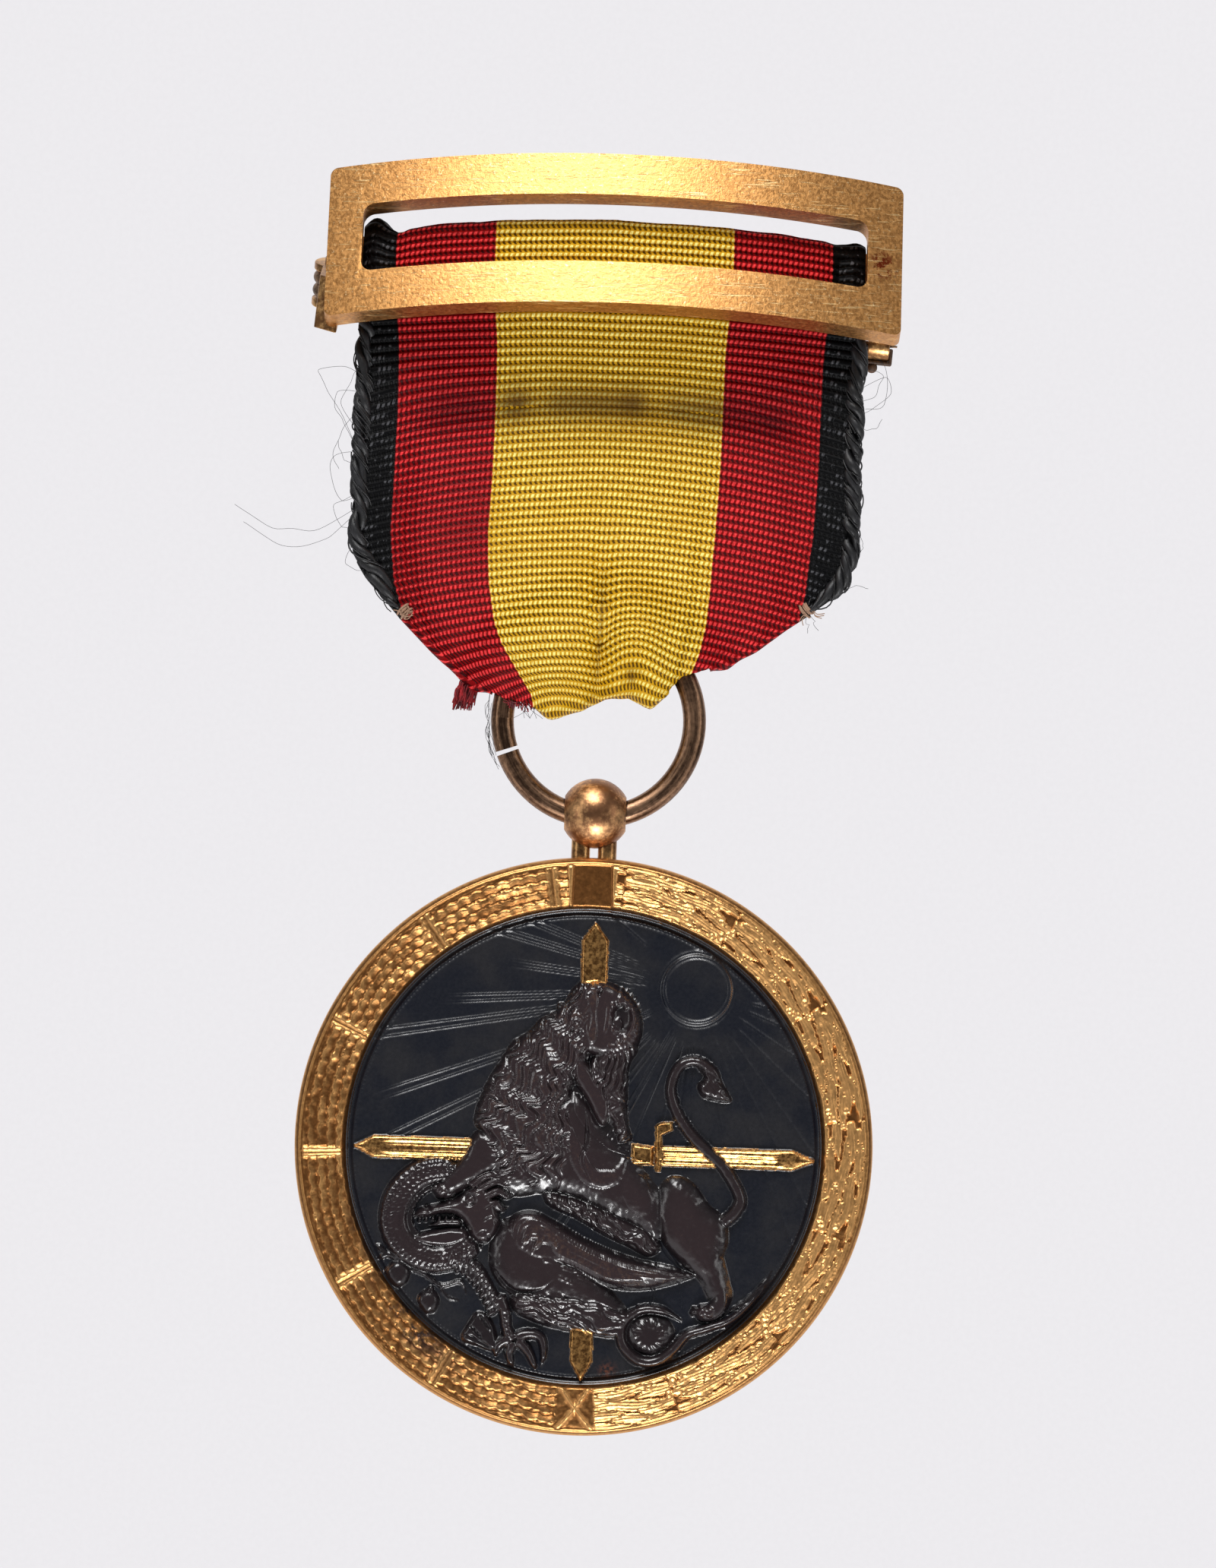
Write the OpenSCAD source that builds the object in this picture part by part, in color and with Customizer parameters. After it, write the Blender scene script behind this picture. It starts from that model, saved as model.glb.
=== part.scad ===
// Campaign medal: curved brooch buckle, folded ribbon, split ring, drilled ball and struck disc.
// Millimetres.  +Z is up, -Y is the front and +X is the wearer's left.
// The medal is drawn hanging as it is worn.  The origin is on the axis of the brooch pin's
// needle, half way along the needle's straight stretch.

/* [Buckle frame] */
// Width of the frame across its ends
frame_w = 36.8; // [32:0.2:46]
// Height of the frame, measured along its plate
frame_h = 10.2; // [9.4:0.2:12.4]
// Thickness of the frame's plate
frame_t = 1.7; // [1.2:0.1:2.2]
// Radius of the curved front face
frame_r = 45; // [38:1:60]
// Backward lean of the upper edge, in degrees
frame_lean = 18; // [10:1:22]
// Height of the window
window_h = 4.6; // [4:0.1:5.6]
// Plate left below the window
sill_h = 2.8; // [2.2:0.1:3.4]
// Plate left at each end of the window
post_w = 2.25; // [2:0.05:2.7]
// Height of the frame's lower edge above the pin's axis, at mid width
frame_rise = 0.2; // [0:0.1:1]

/* [Ribbon bar] */
// Height of the bar that the ribbon hangs over
bar_h = 2.4; // [2:0.1:3]
// Thickness of the bar
bar_t = 1; // [0.7:0.1:1.3]
// Height of the bar's underside above the window sill
bar_rise = 1.1; // [0.9:0.1:1.4]

/* [Ribbon] */
// Thickness of one layer of ribbon
ribbon_t = 0.4; // [0.3:0.05:0.5]
// Gap between the ribbon's edge and the window's end
ribbon_side_gap = 0.35; // [0.2:0.05:0.8]
// Straight-sided length below the bend line
ribbon_straight = 13.8; // [10:0.2:17]
// Length from the bend line to the fold's axis
ribbon_drop = 20.7; // [19:0.1:26]
// Width of the fold that passes through the ring
fold_w = 8.6; // [6.6:0.2:9]
// Distance from the pin's axis back to the plane of the ribbon, ring and disc
chain_depth = 3.2; // [2.6:0.1:4]

/* [Ring] */
// Outer diameter of the split ring
ring_d = 13.8; // [12.4:0.1:18]
// Diameter of the ring's wire
ring_wire = 1.47; // [1:0.05:1.8]
// Gap between the two ends of the wire
ring_split = 0.25; // [0.1:0.05:0.6]
// Direction of the split, in degrees from the wearer's left, anticlockwise from the front
ring_split_at = 200; // [0:5:355]

/* [Ball and stem] */
// Diameter of the drilled ball
ball_d = 4.5; // [4.3:0.1:5.6]
// Clearance around the wire in the drilled hole
ball_gap = 0.14; // [0.1:0.02:0.2]
// Height of the stem between the ball and the disc
stem_h = 0.6; // [0.4:0.1:1.2]

/* [Disc] */
// Diameter of the disc
disc_d = 37; // [30:0.5:46]
// Thickness at the rim
rim_t = 2.6; // [2:0.1:3.4]
// Width of the raised wreath rim
rim_w = 3.3; // [2.4:0.1:4.2]
// Thickness of the sunk field
field_t = 1.6; // [1:0.1:2]

/* [Brooch pin] */
// Diameter of the needle
needle_d = 0.84; // [0.6:0.02:1]
// Diameter of the wire at the coil
coil_wire = 0.9; // [0.7:0.02:1.04]
// Diameter of the rivet
rivet_d = 0.76; // [0.6:0.02:1]
// Downward slope of the needle towards its tip, in degrees
pin_slope = 4; // [2:0.5:5]
// Tilt of the rivet from upright, in degrees: the tip opens back and up
rivet_tilt = 20; // [12:1:30]
// Half the length of the needle's straight stretch
needle_half = 13; // [10:0.5:13.5]

/* [Hidden] */
$fn = 96;

gilt = "goldenrod";
bronze = "#7a5a3c";
thread = "#6b4226";

// Buckle frame, in its own leaned axes: x across, y back, z up along the plate.
half_w = frame_w / 2;
frame_back_r = frame_r - frame_t;
window_hw = half_w - post_w;
window_corner = min(0.7, window_h / 4);
frame_corner = 0.5;

// Ribbon bar and the loop of ribbon over it.
wrap_gap = 0.05;
loop_gap = 0.3;
bar_r = frame_back_r - loop_gap - ribbon_t - wrap_gap - bar_t / 2;
bar_z0 = sill_h + bar_rise;
bar_z1 = bar_z0 + bar_h;
loop_back_r = bar_r - bar_t / 2 - wrap_gap - ribbon_t;
loop_z1 = bar_z1 + wrap_gap + ribbon_t;
loop_leg_drop = 0.5;
ribbon_hw = window_hw - ribbon_side_gap;
foot_h = 1.8;

// Depth of the frame: the back of the ribbon loop clears the pin at the ribbon's edges.
coil_r = coil_wire / 2;
pin_gap = 0.45;
loop_sag = frame_r - sqrt(pow(loop_back_r, 2) - pow(ribbon_hw, 2));
frame_y = -(coil_r + pin_gap) - loop_sag * cos(frame_lean) - loop_z1 * sin(frame_lean);

// Lowest point of the frame's back, at its ends, and the ribbon's bend line below it.
end_sag = frame_r - sqrt(pow(frame_back_r, 2) - pow(half_w, 2));
frame_low = frame_rise - end_sag * sin(frame_lean);
slab_half = ribbon_t + 0.1;
bend_r = slab_half + 0.05;
bend_gap = 0.12;
bend_z = frame_low - bend_r - 0.4;
chain_y = -chain_depth;

// Ring: it hangs on the ends of the fold, which touch it just above its middle.
ring_r = (ring_d - ring_wire) / 2;
wire_r = ring_wire / 2;
fold_hw = fold_w / 2;
fold_gap = 0.27;
fold_z = bend_z - ribbon_drop;
ring_fall = sqrt(pow(ring_r - wire_r, 2) - pow(fold_hw + fold_gap, 2));
ring_z = fold_z - ring_fall;
arc_rise = ring_r - ring_fall;
ring_swing = 10;

// Pocket between the ribbon's two layers, where the ring's upper arc swings.
pocket_half = wire_r + 0.25;
pocket_wide = pocket_half + arc_rise * sin(ring_swing);
pocket_z1 = arc_rise * cos(ring_swing);
pocket_z2 = arc_rise + wire_r + 0.3;
pocket_z3 = arc_rise + 5;
flap_hw = sqrt(pow(ring_d / 2, 2) - pow(ring_fall, 2));
fold_out = pocket_half + ribbon_t;

// Ball, stem and disc.
ball_r = ball_d / 2;
wire_sag = ring_r - sqrt(pow(ring_r, 2) - pow(ball_r, 2));
hole_r = wire_r + wire_sag / 2 + ball_gap;
ball_z = ring_z - ring_r + wire_sag / 2;
disc_r = disc_d / 2;
disc_z = ball_z - ball_r - stem_h - disc_r;
field_r = disc_r - rim_w;
rim_slope = 0.3;
relief_h = 0.2;

// Brooch pin, rivet and lug, in axes that slope with the needle.
needle_r = needle_d / 2;
rivet_r = rivet_d / 2;
turn_r = rivet_r + 0.07 + coil_r;
turn_z = 0.95 * coil_r;
ear_in = turn_z + coil_r + 0.07;
ear_t = 0.5;
ear_r = turn_r + coil_r;
rivet_inset = 0.2;
rivet_x = -(half_w - rivet_inset);
tip_x = half_w + 0.1;
tip_r = 0.07;

// The ribbon bar's feet stand between the window's ends and the hinge's ears.
foot_a0 = asin((window_hw + 0.05) / bar_r);
foot_a1 = asin((half_w - rivet_inset - ear_r - 0.05) / bar_r);

// Catch.
hook_x = half_w - 1.1;
hook_w = 1.4;
hook_ri = 0.55;
hook_t = 0.5;
hook_ro = hook_ri + hook_t;
hook_lip = 25;
hook_foot_h = 1.4;
thread_r = 0.12;

// Depth from the middle of the lower ribbon to its outer face, at a height above the fold's axis.
function layer_half(z) =
    let (z3 = pocket_z3 + 2 * ribbon_t, widest = pocket_half + 0.2 + ribbon_t)
    slab_half + (widest - slab_half) * max(0, z3 - z) / (z3 - pocket_z2);

module frame_axes() {
    translate([0, frame_y, frame_rise]) rotate([-frame_lean, 0, 0]) children();
}

module pin_axes() {
    rotate([0, pin_slope, 0]) children();
}

module rivet_axes() {
    pin_axes() translate([rivet_x, 0, 0]) rotate([rivet_tilt, 0, 0]) translate([0, turn_r, 0])
        children();
}

// A rounded rectangle made of squares and circles, from z0 up.
module rounded_rect(half, z0, h, r) {
    translate([-half + r, z0]) square([2 * (half - r), h]);
    translate([-half, z0 + r]) square([2 * half, h - 2 * r]);
    for (x = [-half + r, half - r], z = [z0 + r, z0 + h - r])
        translate([x, z]) circle(r);
}

// Sweeps a section of [radius, height] about the frame's centre of curvature, to each side by a.
module frame_sweep(a) {
    translate([0, frame_r, 0]) rotate([0, 0, -90 - a]) rotate_extrude(angle = 2 * a) children();
}

// Everything behind the frame's plate, which cuts what is soldered to it.
module behind_frame() {
    frame_axes() translate([0, frame_r, -20]) cylinder(r = frame_back_r, h = 50, $fn = 180);
}

module buckle_frame() {
    color(gilt) frame_axes() difference() {
        intersection() {
            translate([0, frame_r, 0]) difference() {
                cylinder(r = frame_r, h = frame_h, $fn = 180);
                translate([0, 0, -1]) cylinder(r = frame_back_r, h = frame_h + 2, $fn = 180);
            }
            translate([0, 20, 0]) rotate([90, 0, 0]) linear_extrude(25)
                rounded_rect(half_w, 0, frame_h, frame_corner);
        }
        translate([0, 21, 0]) rotate([90, 0, 0]) linear_extrude(27)
            rounded_rect(window_hw, sill_h, window_h, window_corner);
    }
}

module ribbon_bar() {
    color(gilt) frame_axes() {
        frame_sweep(foot_a1) translate([bar_r - bar_t / 2, bar_z0]) square([bar_t, bar_h]);
        for (side = [-1, 1])
            translate([0, frame_r, 0])
                rotate([0, 0, -90 + side * (foot_a0 + foot_a1) / 2 - (foot_a1 - foot_a0) / 2])
                rotate_extrude(angle = foot_a1 - foot_a0)
                translate([bar_r, bar_z0 + (bar_h - foot_h) / 2]) square([frame_back_r - bar_r, foot_h]);
    }
}

module hinge_lug() {
    ear_top = ear_in + ear_t;
    color(gilt) intersection() {
        rivet_axes() difference() {
            union() {
                translate([0, 0, -ear_top]) cylinder(r = ear_r, h = 2 * ear_top);
                translate([-0.75, -8, -ear_top]) cube([1.5, 8, 2 * ear_top]);
            }
            translate([0, 0, -ear_in]) cylinder(r = ear_r + 0.15, h = 2 * ear_in);
            translate([0, 0, -5]) cylinder(r = rivet_r, h = 10);
        }
        behind_frame();
    }
}

module hinge_rivet() {
    head_h = 0.3;
    shank = ear_in + ear_t;
    color(bronze) rivet_axes() {
        translate([0, 0, -shank]) cylinder(r = rivet_r, h = 2 * shank);
        for (z = [-shank - head_h, shank]) translate([0, 0, z]) cylinder(r = rivet_r + 0.3, h = head_h);
    }
}

module brooch_pin() {
    root_len = 2;
    color("#b08a4a") {
        rivet_axes() for (z = [-turn_z, turn_z])
            translate([0, 0, z]) rotate_extrude() translate([turn_r, 0]) circle(coil_r, $fn = 48);
        pin_axes() rotate([0, 90, 0]) {
            translate([0, 0, rivet_x]) cylinder(r = coil_r, h = -needle_half - root_len - rivet_x);
            translate([0, 0, -needle_half - root_len]) cylinder(r1 = coil_r, r2 = needle_r, h = root_len);
            translate([0, 0, -needle_half]) cylinder(r = needle_r, h = 2 * needle_half);
            translate([0, 0, needle_half]) cylinder(r1 = needle_r, r2 = tip_r, h = tip_x - needle_half);
        }
    }
}

// The catch: a strip that stands out behind the post and curls under the needle, open upwards.
module catch_hook() {
    color(gilt) intersection() {
        pin_axes() translate([hook_x - hook_w / 2, 0, 0]) rotate([90, 0, 90]) linear_extrude(hook_w) {
            difference() {
                circle(hook_ro);
                circle(hook_ri);
                polygon([[0, 0], [-3, 0], [-3, 3], [3, 3], [3, -3 * tan(hook_lip)]]);
            }
            translate([-hook_ro, -0.01]) square([hook_t, hook_foot_h + 0.01]);
            translate([-10, 0.1]) square([10 - hook_ri - 0.01, hook_foot_h - 0.1]);
        }
        behind_frame();
    }
}

// Brown thread wound round the catch's curl, with its knot below.
module catch_thread() {
    reach_x = hook_w / 2 + thread_r + 0.01;
    turn_gap = 2.2 * thread_r;
    clear = thread_r + 0.02;
    color(thread) pin_axes() translate([hook_x, 0, 0]) {
        for (y = [-turn_gap, 0, turn_gap]) {
            over = -sqrt(pow(hook_ri - clear, 2) - pow(y, 2));
            under = -sqrt(pow(hook_ro + clear, 2) - pow(y, 2));
            for (z = [over, under]) translate([-reach_x, y, z]) rotate([0, 90, 0])
                cylinder(r = thread_r, h = 2 * reach_x, $fn = 24);
            for (x = [-reach_x, reach_x]) translate([x, y, under])
                cylinder(r = thread_r, h = over - under, $fn = 24);
            for (x = [-reach_x, reach_x], z = [over, under])
                translate([x, y, z]) sphere(thread_r, $fn = 24);
        }
        translate([-0.3, 0, -hook_ro - 0.45]) sphere(0.36, $fn = 32);
    }
}

// The ribbon's loop over the bar, and the stretch behind the sill down to the bend line.
module ribbon_upper() {
    inner = bar_t / 2 + wrap_gap;
    outer = inner + ribbon_t;
    loop_a = asin(ribbon_hw / bar_r);
    leg_z0 = bar_z0 - loop_leg_drop;
    tail_z = bend_z + bend_r + bend_gap;
    color("#a01020") {
        frame_axes() frame_sweep(loop_a) translate([bar_r, 0]) difference() {
            union() {
                translate([-outer, leg_z0]) square([2 * outer, loop_z1 - outer - leg_z0]);
                translate([0, loop_z1 - outer]) circle(outer, $fn = 48);
            }
            translate([-inner, leg_z0 - 1]) square([2 * inner, bar_z1 + wrap_gap - leg_z0 + 1]);
        }
        hull() {
            frame_axes() frame_sweep(loop_a - 0.2) translate([loop_back_r + 0.02, leg_z0 - 0.15])
                square([2 * outer - 0.04, 0.3]);
            translate([-ribbon_hw + 0.1, chain_y - slab_half, tail_z])
                cube([2 * ribbon_hw - 0.2, 2 * slab_half, 0.4]);
        }
    }
}

// Side view of the lower ribbon: two layers that part round the ring and meet in the fold.
module ribbon_side(grow, slab) {
    side = [[pocket_half + grow, 0], [pocket_wide + grow, pocket_z1],
            [pocket_half + 0.2 + grow, pocket_z2], [slab, pocket_z3 + 2 * grow]];
    polygon(concat(side, [for (i = [3 : -1 : 0]) [-side[i][0], side[i][1]]]));
    circle(pocket_half + grow);
}

// Front view of the lower ribbon: straight sides, folded-in corners and the narrow fold.
module ribbon_front() {
    shoulder = ribbon_drop - ribbon_straight;
    polygon([[-ribbon_hw, shoulder], [-flap_hw, 0], [-fold_hw, 0], [-fold_hw, -fold_out - 1],
             [fold_hw, -fold_out - 1], [fold_hw, 0], [flap_hw, 0], [ribbon_hw, shoulder],
             [ribbon_hw, ribbon_drop], [-ribbon_hw, ribbon_drop]]);
}

module ribbon_lower() {
    color("#e0b030") translate([0, chain_y, fold_z]) {
        intersection() {
            translate([-ribbon_hw - 1, 0, 0]) rotate([90, 0, 90]) linear_extrude(2 * ribbon_hw + 2)
                difference() {
                    union() {
                        ribbon_side(ribbon_t, slab_half);
                        translate([-slab_half, pocket_z3]) square([2 * slab_half, ribbon_drop - pocket_z3]);
                    }
                    ribbon_side(0, 0.01);
                }
            translate([0, 10, 0]) rotate([90, 0, 0]) linear_extrude(20) ribbon_front();
        }
        translate([-ribbon_hw, 0, ribbon_drop]) rotate([0, 90, 0]) cylinder(r = bend_r, h = 2 * ribbon_hw);
    }
}

// Three turns of thread over the slanted edge where a corner is folded in and tacked.
module corner_tack(side) {
    shoulder = ribbon_drop - ribbon_straight;
    slope = atan2(shoulder, ribbon_hw - flap_hw);
    share = 0.28;
    tack_x = ribbon_hw - share * (ribbon_hw - flap_hw);
    tack_z = fold_z + (1 - share) * shoulder;
    bite = 1.1;
    edge = thread_r + 0.02;
    reach = layer_half(tack_z - fold_z - 6 * thread_r) + thread_r + 0.01;
    color(thread) translate([side * tack_x, chain_y, tack_z]) rotate([0, -side * slope, 0])
        scale_side(side) for (i = [-1 : 1]) translate([i * 2.3 * thread_r, 0, 0]) {
            for (y = [-reach, reach]) translate([0, y, -edge])
                cylinder(r = thread_r, h = bite + edge, $fn = 24);
            translate([0, -reach, -edge]) rotate([-90, 0, 0]) cylinder(r = thread_r, h = 2 * reach, $fn = 24);
            for (y = [-reach, reach]) translate([0, y, -edge]) sphere(thread_r, $fn = 24);
        }
}

// Mirrors a left-hand piece from a right-hand one.
module scale_side(side) {
    if (side > 0) children();
    else mirror([1, 0, 0]) children();
}

module corner_tack_left() {
    corner_tack(-1);
}

module corner_tack_right() {
    corner_tack(1);
}

// The row of stitches that holds the ribbon's turned-in end on the back layer.
module hem_stitches() {
    stitch_len = 1.7;
    pitch = 2.9;
    count = floor((2 * ribbon_hw - 2) / pitch);
    hem_z = bend_z - 4;
    color(thread) for (i = [0 : count - 1])
        translate([(i - (count - 1) / 2) * pitch - stitch_len / 2, chain_y + slab_half + thread_r + 0.01, hem_z])
            rotate([0, 90, 0]) cylinder(r = thread_r, h = stitch_len, $fn = 24);
}

module suspension_ring() {
    split_a = ring_split / ring_r * 180 / PI;
    color(bronze) translate([0, chain_y, ring_z]) rotate([90, 0, 0])
        rotate([0, 0, ring_split_at + split_a / 2]) rotate_extrude(angle = 360 - split_a, $fn = 180)
        translate([ring_r, 0]) circle(wire_r, $fn = 48);
}

module suspension_ball() {
    color(gilt) translate([0, chain_y, ball_z]) difference() {
        sphere(ball_r);
        translate([-ball_d, 0, 0]) rotate([0, 90, 0]) cylinder(r = hole_r, h = 2 * ball_d);
    }
}

// Two brazed feet between the ball and the disc's edge, with a slot between them.
module ball_stem() {
    foot_x = 0.85;
    foot_r = 0.6;
    color(bronze) translate([0, chain_y, disc_z]) difference() {
        for (x = [-foot_x, foot_x]) translate([x, 0, disc_r - 1]) cylinder(r = foot_r, h = 1 + stem_h + ball_r / 2);
        translate([0, 0, ball_z - disc_z]) sphere(ball_r);
        rotate([90, 0, 0]) cylinder(r = disc_r, h = rim_t + 2, center = true, $fn = 180);
    }
}

// A straight double-edged blade with pointed ends, centred on the origin.
module blade(length, width) {
    point = 1.4 * width;
    polygon([[-length / 2, 0], [-length / 2 + point, -width / 2], [length / 2 - point, -width / 2],
             [length / 2, 0], [length / 2 - point, width / 2], [-length / 2 + point, width / 2]]);
}

module medal_disc() {
    edge = 0.3;
    color(gilt) translate([0, chain_y, disc_z]) rotate([90, 0, 0]) {
        rotate_extrude($fn = 180) polygon([
            [0, -field_t / 2], [field_r, -field_t / 2], [field_r + rim_slope, -rim_t / 2],
            [disc_r - edge, -rim_t / 2], [disc_r, -rim_t / 2 + edge], [disc_r, rim_t / 2 - edge],
            [disc_r - edge, rim_t / 2], [field_r + rim_slope, rim_t / 2], [field_r, field_t / 2],
            [0, field_t / 2]]);
        translate([0, 0, field_t / 2 - 0.01]) linear_extrude(relief_h + 0.01) {
            blade(1.95 * field_r, 0.09 * field_r);
            rotate(90) blade(1.95 * field_r, 0.11 * field_r);
        }
    }
}

buckle_frame();
ribbon_bar();
hinge_lug();
hinge_rivet();
catch_hook();
catch_thread();
brooch_pin();
ribbon_upper();
ribbon_lower();
corner_tack_left();
corner_tack_right();
hem_stitches();
suspension_ring();
suspension_ball();
ball_stem();
medal_disc();
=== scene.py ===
import bpy
import math
import numpy as np
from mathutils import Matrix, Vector


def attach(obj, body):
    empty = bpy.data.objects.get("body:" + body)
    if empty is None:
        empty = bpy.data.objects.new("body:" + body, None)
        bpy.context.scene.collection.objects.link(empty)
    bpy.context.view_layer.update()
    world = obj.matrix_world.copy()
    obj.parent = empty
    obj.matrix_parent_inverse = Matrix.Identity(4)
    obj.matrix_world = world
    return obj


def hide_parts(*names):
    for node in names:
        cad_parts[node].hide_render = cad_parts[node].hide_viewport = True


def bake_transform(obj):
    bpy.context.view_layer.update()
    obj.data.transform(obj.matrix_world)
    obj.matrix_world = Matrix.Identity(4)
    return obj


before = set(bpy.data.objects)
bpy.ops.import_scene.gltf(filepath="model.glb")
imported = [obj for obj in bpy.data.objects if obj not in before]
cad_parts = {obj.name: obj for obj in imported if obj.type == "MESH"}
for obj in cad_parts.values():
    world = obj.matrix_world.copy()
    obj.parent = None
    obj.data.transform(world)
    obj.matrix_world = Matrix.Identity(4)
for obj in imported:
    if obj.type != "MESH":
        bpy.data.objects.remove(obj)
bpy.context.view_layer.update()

# ---------------------------------------------------------------- sizes shared with the CAD, in mm
MM = 0.001
LEAN = math.radians(18)
FRAME_Y, FRAME_Z, FRAME_R = -9.699, 0.2, 45.0
BAR_R, LOOP_C = 42.05, 5.8
CHAIN_Y = -3.2
FOLD_Z = -23.2435
RING_Z, RING_R, WIRE_R = -26.176, 6.165, 0.735
DISC_Z, FIELD_R = -53.478, 15.2
RIBBON_HW = 15.8

# The cloth's weave and stripes
RIB, YARN = 0.54, 0.33
YELLOW_HW, RED_HW = 7.3, 13.6
CLOTH_T = 0.26


# ---------------------------------------------------------------- numbers
def smooth(x, a, b):
    """0 at a, 1 at b, eased in between."""
    t = np.clip((x - a) / (b - a), 0, 1)
    return t * t * (3 - 2 * t)


def bell(x, centre, width):
    """1 at the centre, falling to 0 over a few widths."""
    return np.exp(-((x - centre) / width) ** 2)


def unit(v):
    """Vectors of length one."""
    return v / (np.linalg.norm(v, axis=-1, keepdims=True) + 1e-12)


def curve(points, per=6, closed=False):
    """Catmull-Rom curve through the points."""
    p = np.array(points, float)
    n = len(p)
    out = []
    for i in range(n if closed else n - 1):
        near = [(i + k) % n if closed else max(0, min(n - 1, i + k)) for k in (-1, 0, 1, 2)]
        a, b, c, d = p[near]
        for t in np.arange(per) / per:
            out.append(0.5 * (2 * b + (c - a) * t + (2 * a - 5 * b + 4 * c - d) * t * t
                              + (3 * b - a - 3 * c + d) * t ** 3))
    if not closed:
        out.append(p[-1])
    return np.array(out)


def noise1(x, seed, scale=1.0):
    """Smooth 1-D value noise from -1 to 1."""
    r = np.random.default_rng(seed).uniform(-1, 1, 4096)
    x = np.asarray(x, float) / scale + 1000.0
    i = np.floor(x).astype(int)
    f = x - i
    f = f * f * (3 - 2 * f)
    return r[i % 4096] * (1 - f) + r[(i + 1) % 4096] * f


def noise2(x, y, seed, scale=1.0):
    """Smooth 2-D value noise from -1 to 1."""
    r = np.random.default_rng(seed).uniform(-1, 1, (256, 256))
    x, y = np.asarray(x, float) / scale + 500.0, np.asarray(y, float) / scale + 500.0
    i, j = np.floor(x).astype(int), np.floor(y).astype(int)
    f, g = x - i, y - j
    f, g = f * f * (3 - 2 * f), g * g * (3 - 2 * g)
    a = r[i % 256, j % 256] * (1 - f) + r[(i + 1) % 256, j % 256] * f
    b = r[i % 256, (j + 1) % 256] * (1 - f) + r[(i + 1) % 256, (j + 1) % 256] * f
    return a * (1 - g) + b * g


# ---------------------------------------------------------------- meshes
def grid_faces(rows, cols, wrap=False, start=0):
    """Quads of a grid of points, closed across its columns when wrap is set."""
    r = np.arange(rows - 1)[:, None] * cols
    c = np.arange(cols if wrap else cols - 1)[None, :]
    d = (c + 1) % cols
    quads = np.stack([r + c, r + d, r + cols + d, r + cols + c], -1) + start
    return quads.reshape(-1, 4)


def fan(ring, centre, flip=False):
    """Triangles between a ring of points and one point."""
    a, b = ring, np.roll(ring, -1)
    if flip:
        a, b = b, a
    return np.stack([a, b, np.full(len(ring), centre)], -1)


def make_object(name, verts, quads, tris, material):
    """A smooth-shaded mesh object from points in mm."""
    me = bpy.data.meshes.new(name)
    me.vertices.add(len(verts))
    me.vertices.foreach_set("co", (np.asarray(verts, np.float32) * MM).ravel())
    loops = np.concatenate([quads.ravel(), tris.ravel()]).astype(np.int32)
    me.loops.add(len(loops))
    me.loops.foreach_set("vertex_index", loops)
    starts = np.concatenate([np.arange(len(quads)) * 4, len(quads) * 4 + np.arange(len(tris)) * 3])
    me.polygons.add(len(starts))
    me.polygons.foreach_set("loop_start", starts.astype(np.int32))
    me.polygons.foreach_set("use_smooth", np.ones(len(starts), bool))
    me.update(calc_edges=True)
    me.validate()
    me.materials.append(material)
    return link(name, me)


def link(name, data):
    """A new object in the scene."""
    ob = bpy.data.objects.new(name, data)
    bpy.context.scene.collection.objects.link(ob)
    return ob


NO_TRIS = np.empty((0, 3), int)


def attribute(ob, name, values):
    """A number at each point of a mesh, for its material to read."""
    a = ob.data.attributes.new(name, "FLOAT", "POINT")
    a.data.foreach_set("value", np.asarray(values, np.float32).ravel())


def tubes(name, paths, radii, material, sides=6):
    """Round threads along several paths as one mesh. Each radius is a number or one per point."""
    verts, quads, tris, start = [], [], [], 0
    a = np.arange(sides) * 2 * np.pi / sides
    for path, radius in zip(paths, radii):
        p = np.asarray(path, float)
        t = unit(np.gradient(p, axis=0))
        n = unit(np.cross(t, [0.3, -1.0, 0.2]))
        b = np.cross(t, n)
        r = np.broadcast_to(np.asarray(radius, float), len(p))[:, None, None]
        spokes = np.cos(a)[None, :, None] * n[:, None] + np.sin(a)[None, :, None] * b[:, None]
        ring = p[:, None] + r * spokes
        verts += [ring.reshape(-1, 3), p[[0, -1]]]
        quads.append(grid_faces(len(p), sides, True, start))
        first, centre = start + np.arange(sides), start + len(p) * sides
        tris.append(fan(first, centre, flip=True))
        tris.append(fan(first + (len(p) - 1) * sides, centre + 1))
        start += len(p) * sides + 2
    return make_object(name, np.concatenate(verts), np.concatenate(quads), np.concatenate(tris), material)


# ---------------------------------------------------------------- materials
class Value:
    """A node's output, which sums, products and clamps can be written with."""

    def __init__(self, nodes, socket):
        self.nodes, self.socket = nodes, socket

    def __add__(self, other):
        return self.nodes.math("ADD", self, other)

    def __sub__(self, other):
        return self.nodes.math("SUBTRACT", self, other)

    def __rsub__(self, other):
        return self.nodes.math("SUBTRACT", other, self)

    def __mul__(self, other):
        return self.nodes.math("MULTIPLY", self, other)

    def __truediv__(self, other):
        return self.nodes.math("DIVIDE", self, other)

    def fit(self, a, b):
        """0 where this is a and 1 where it is b, eased in between."""
        return self.nodes.new("ShaderNodeMapRange", {0: self, 1: a, 2: b, 3: 0.0, 4: 1.0},
                              interpolation_type="SMOOTHSTEP")


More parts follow.
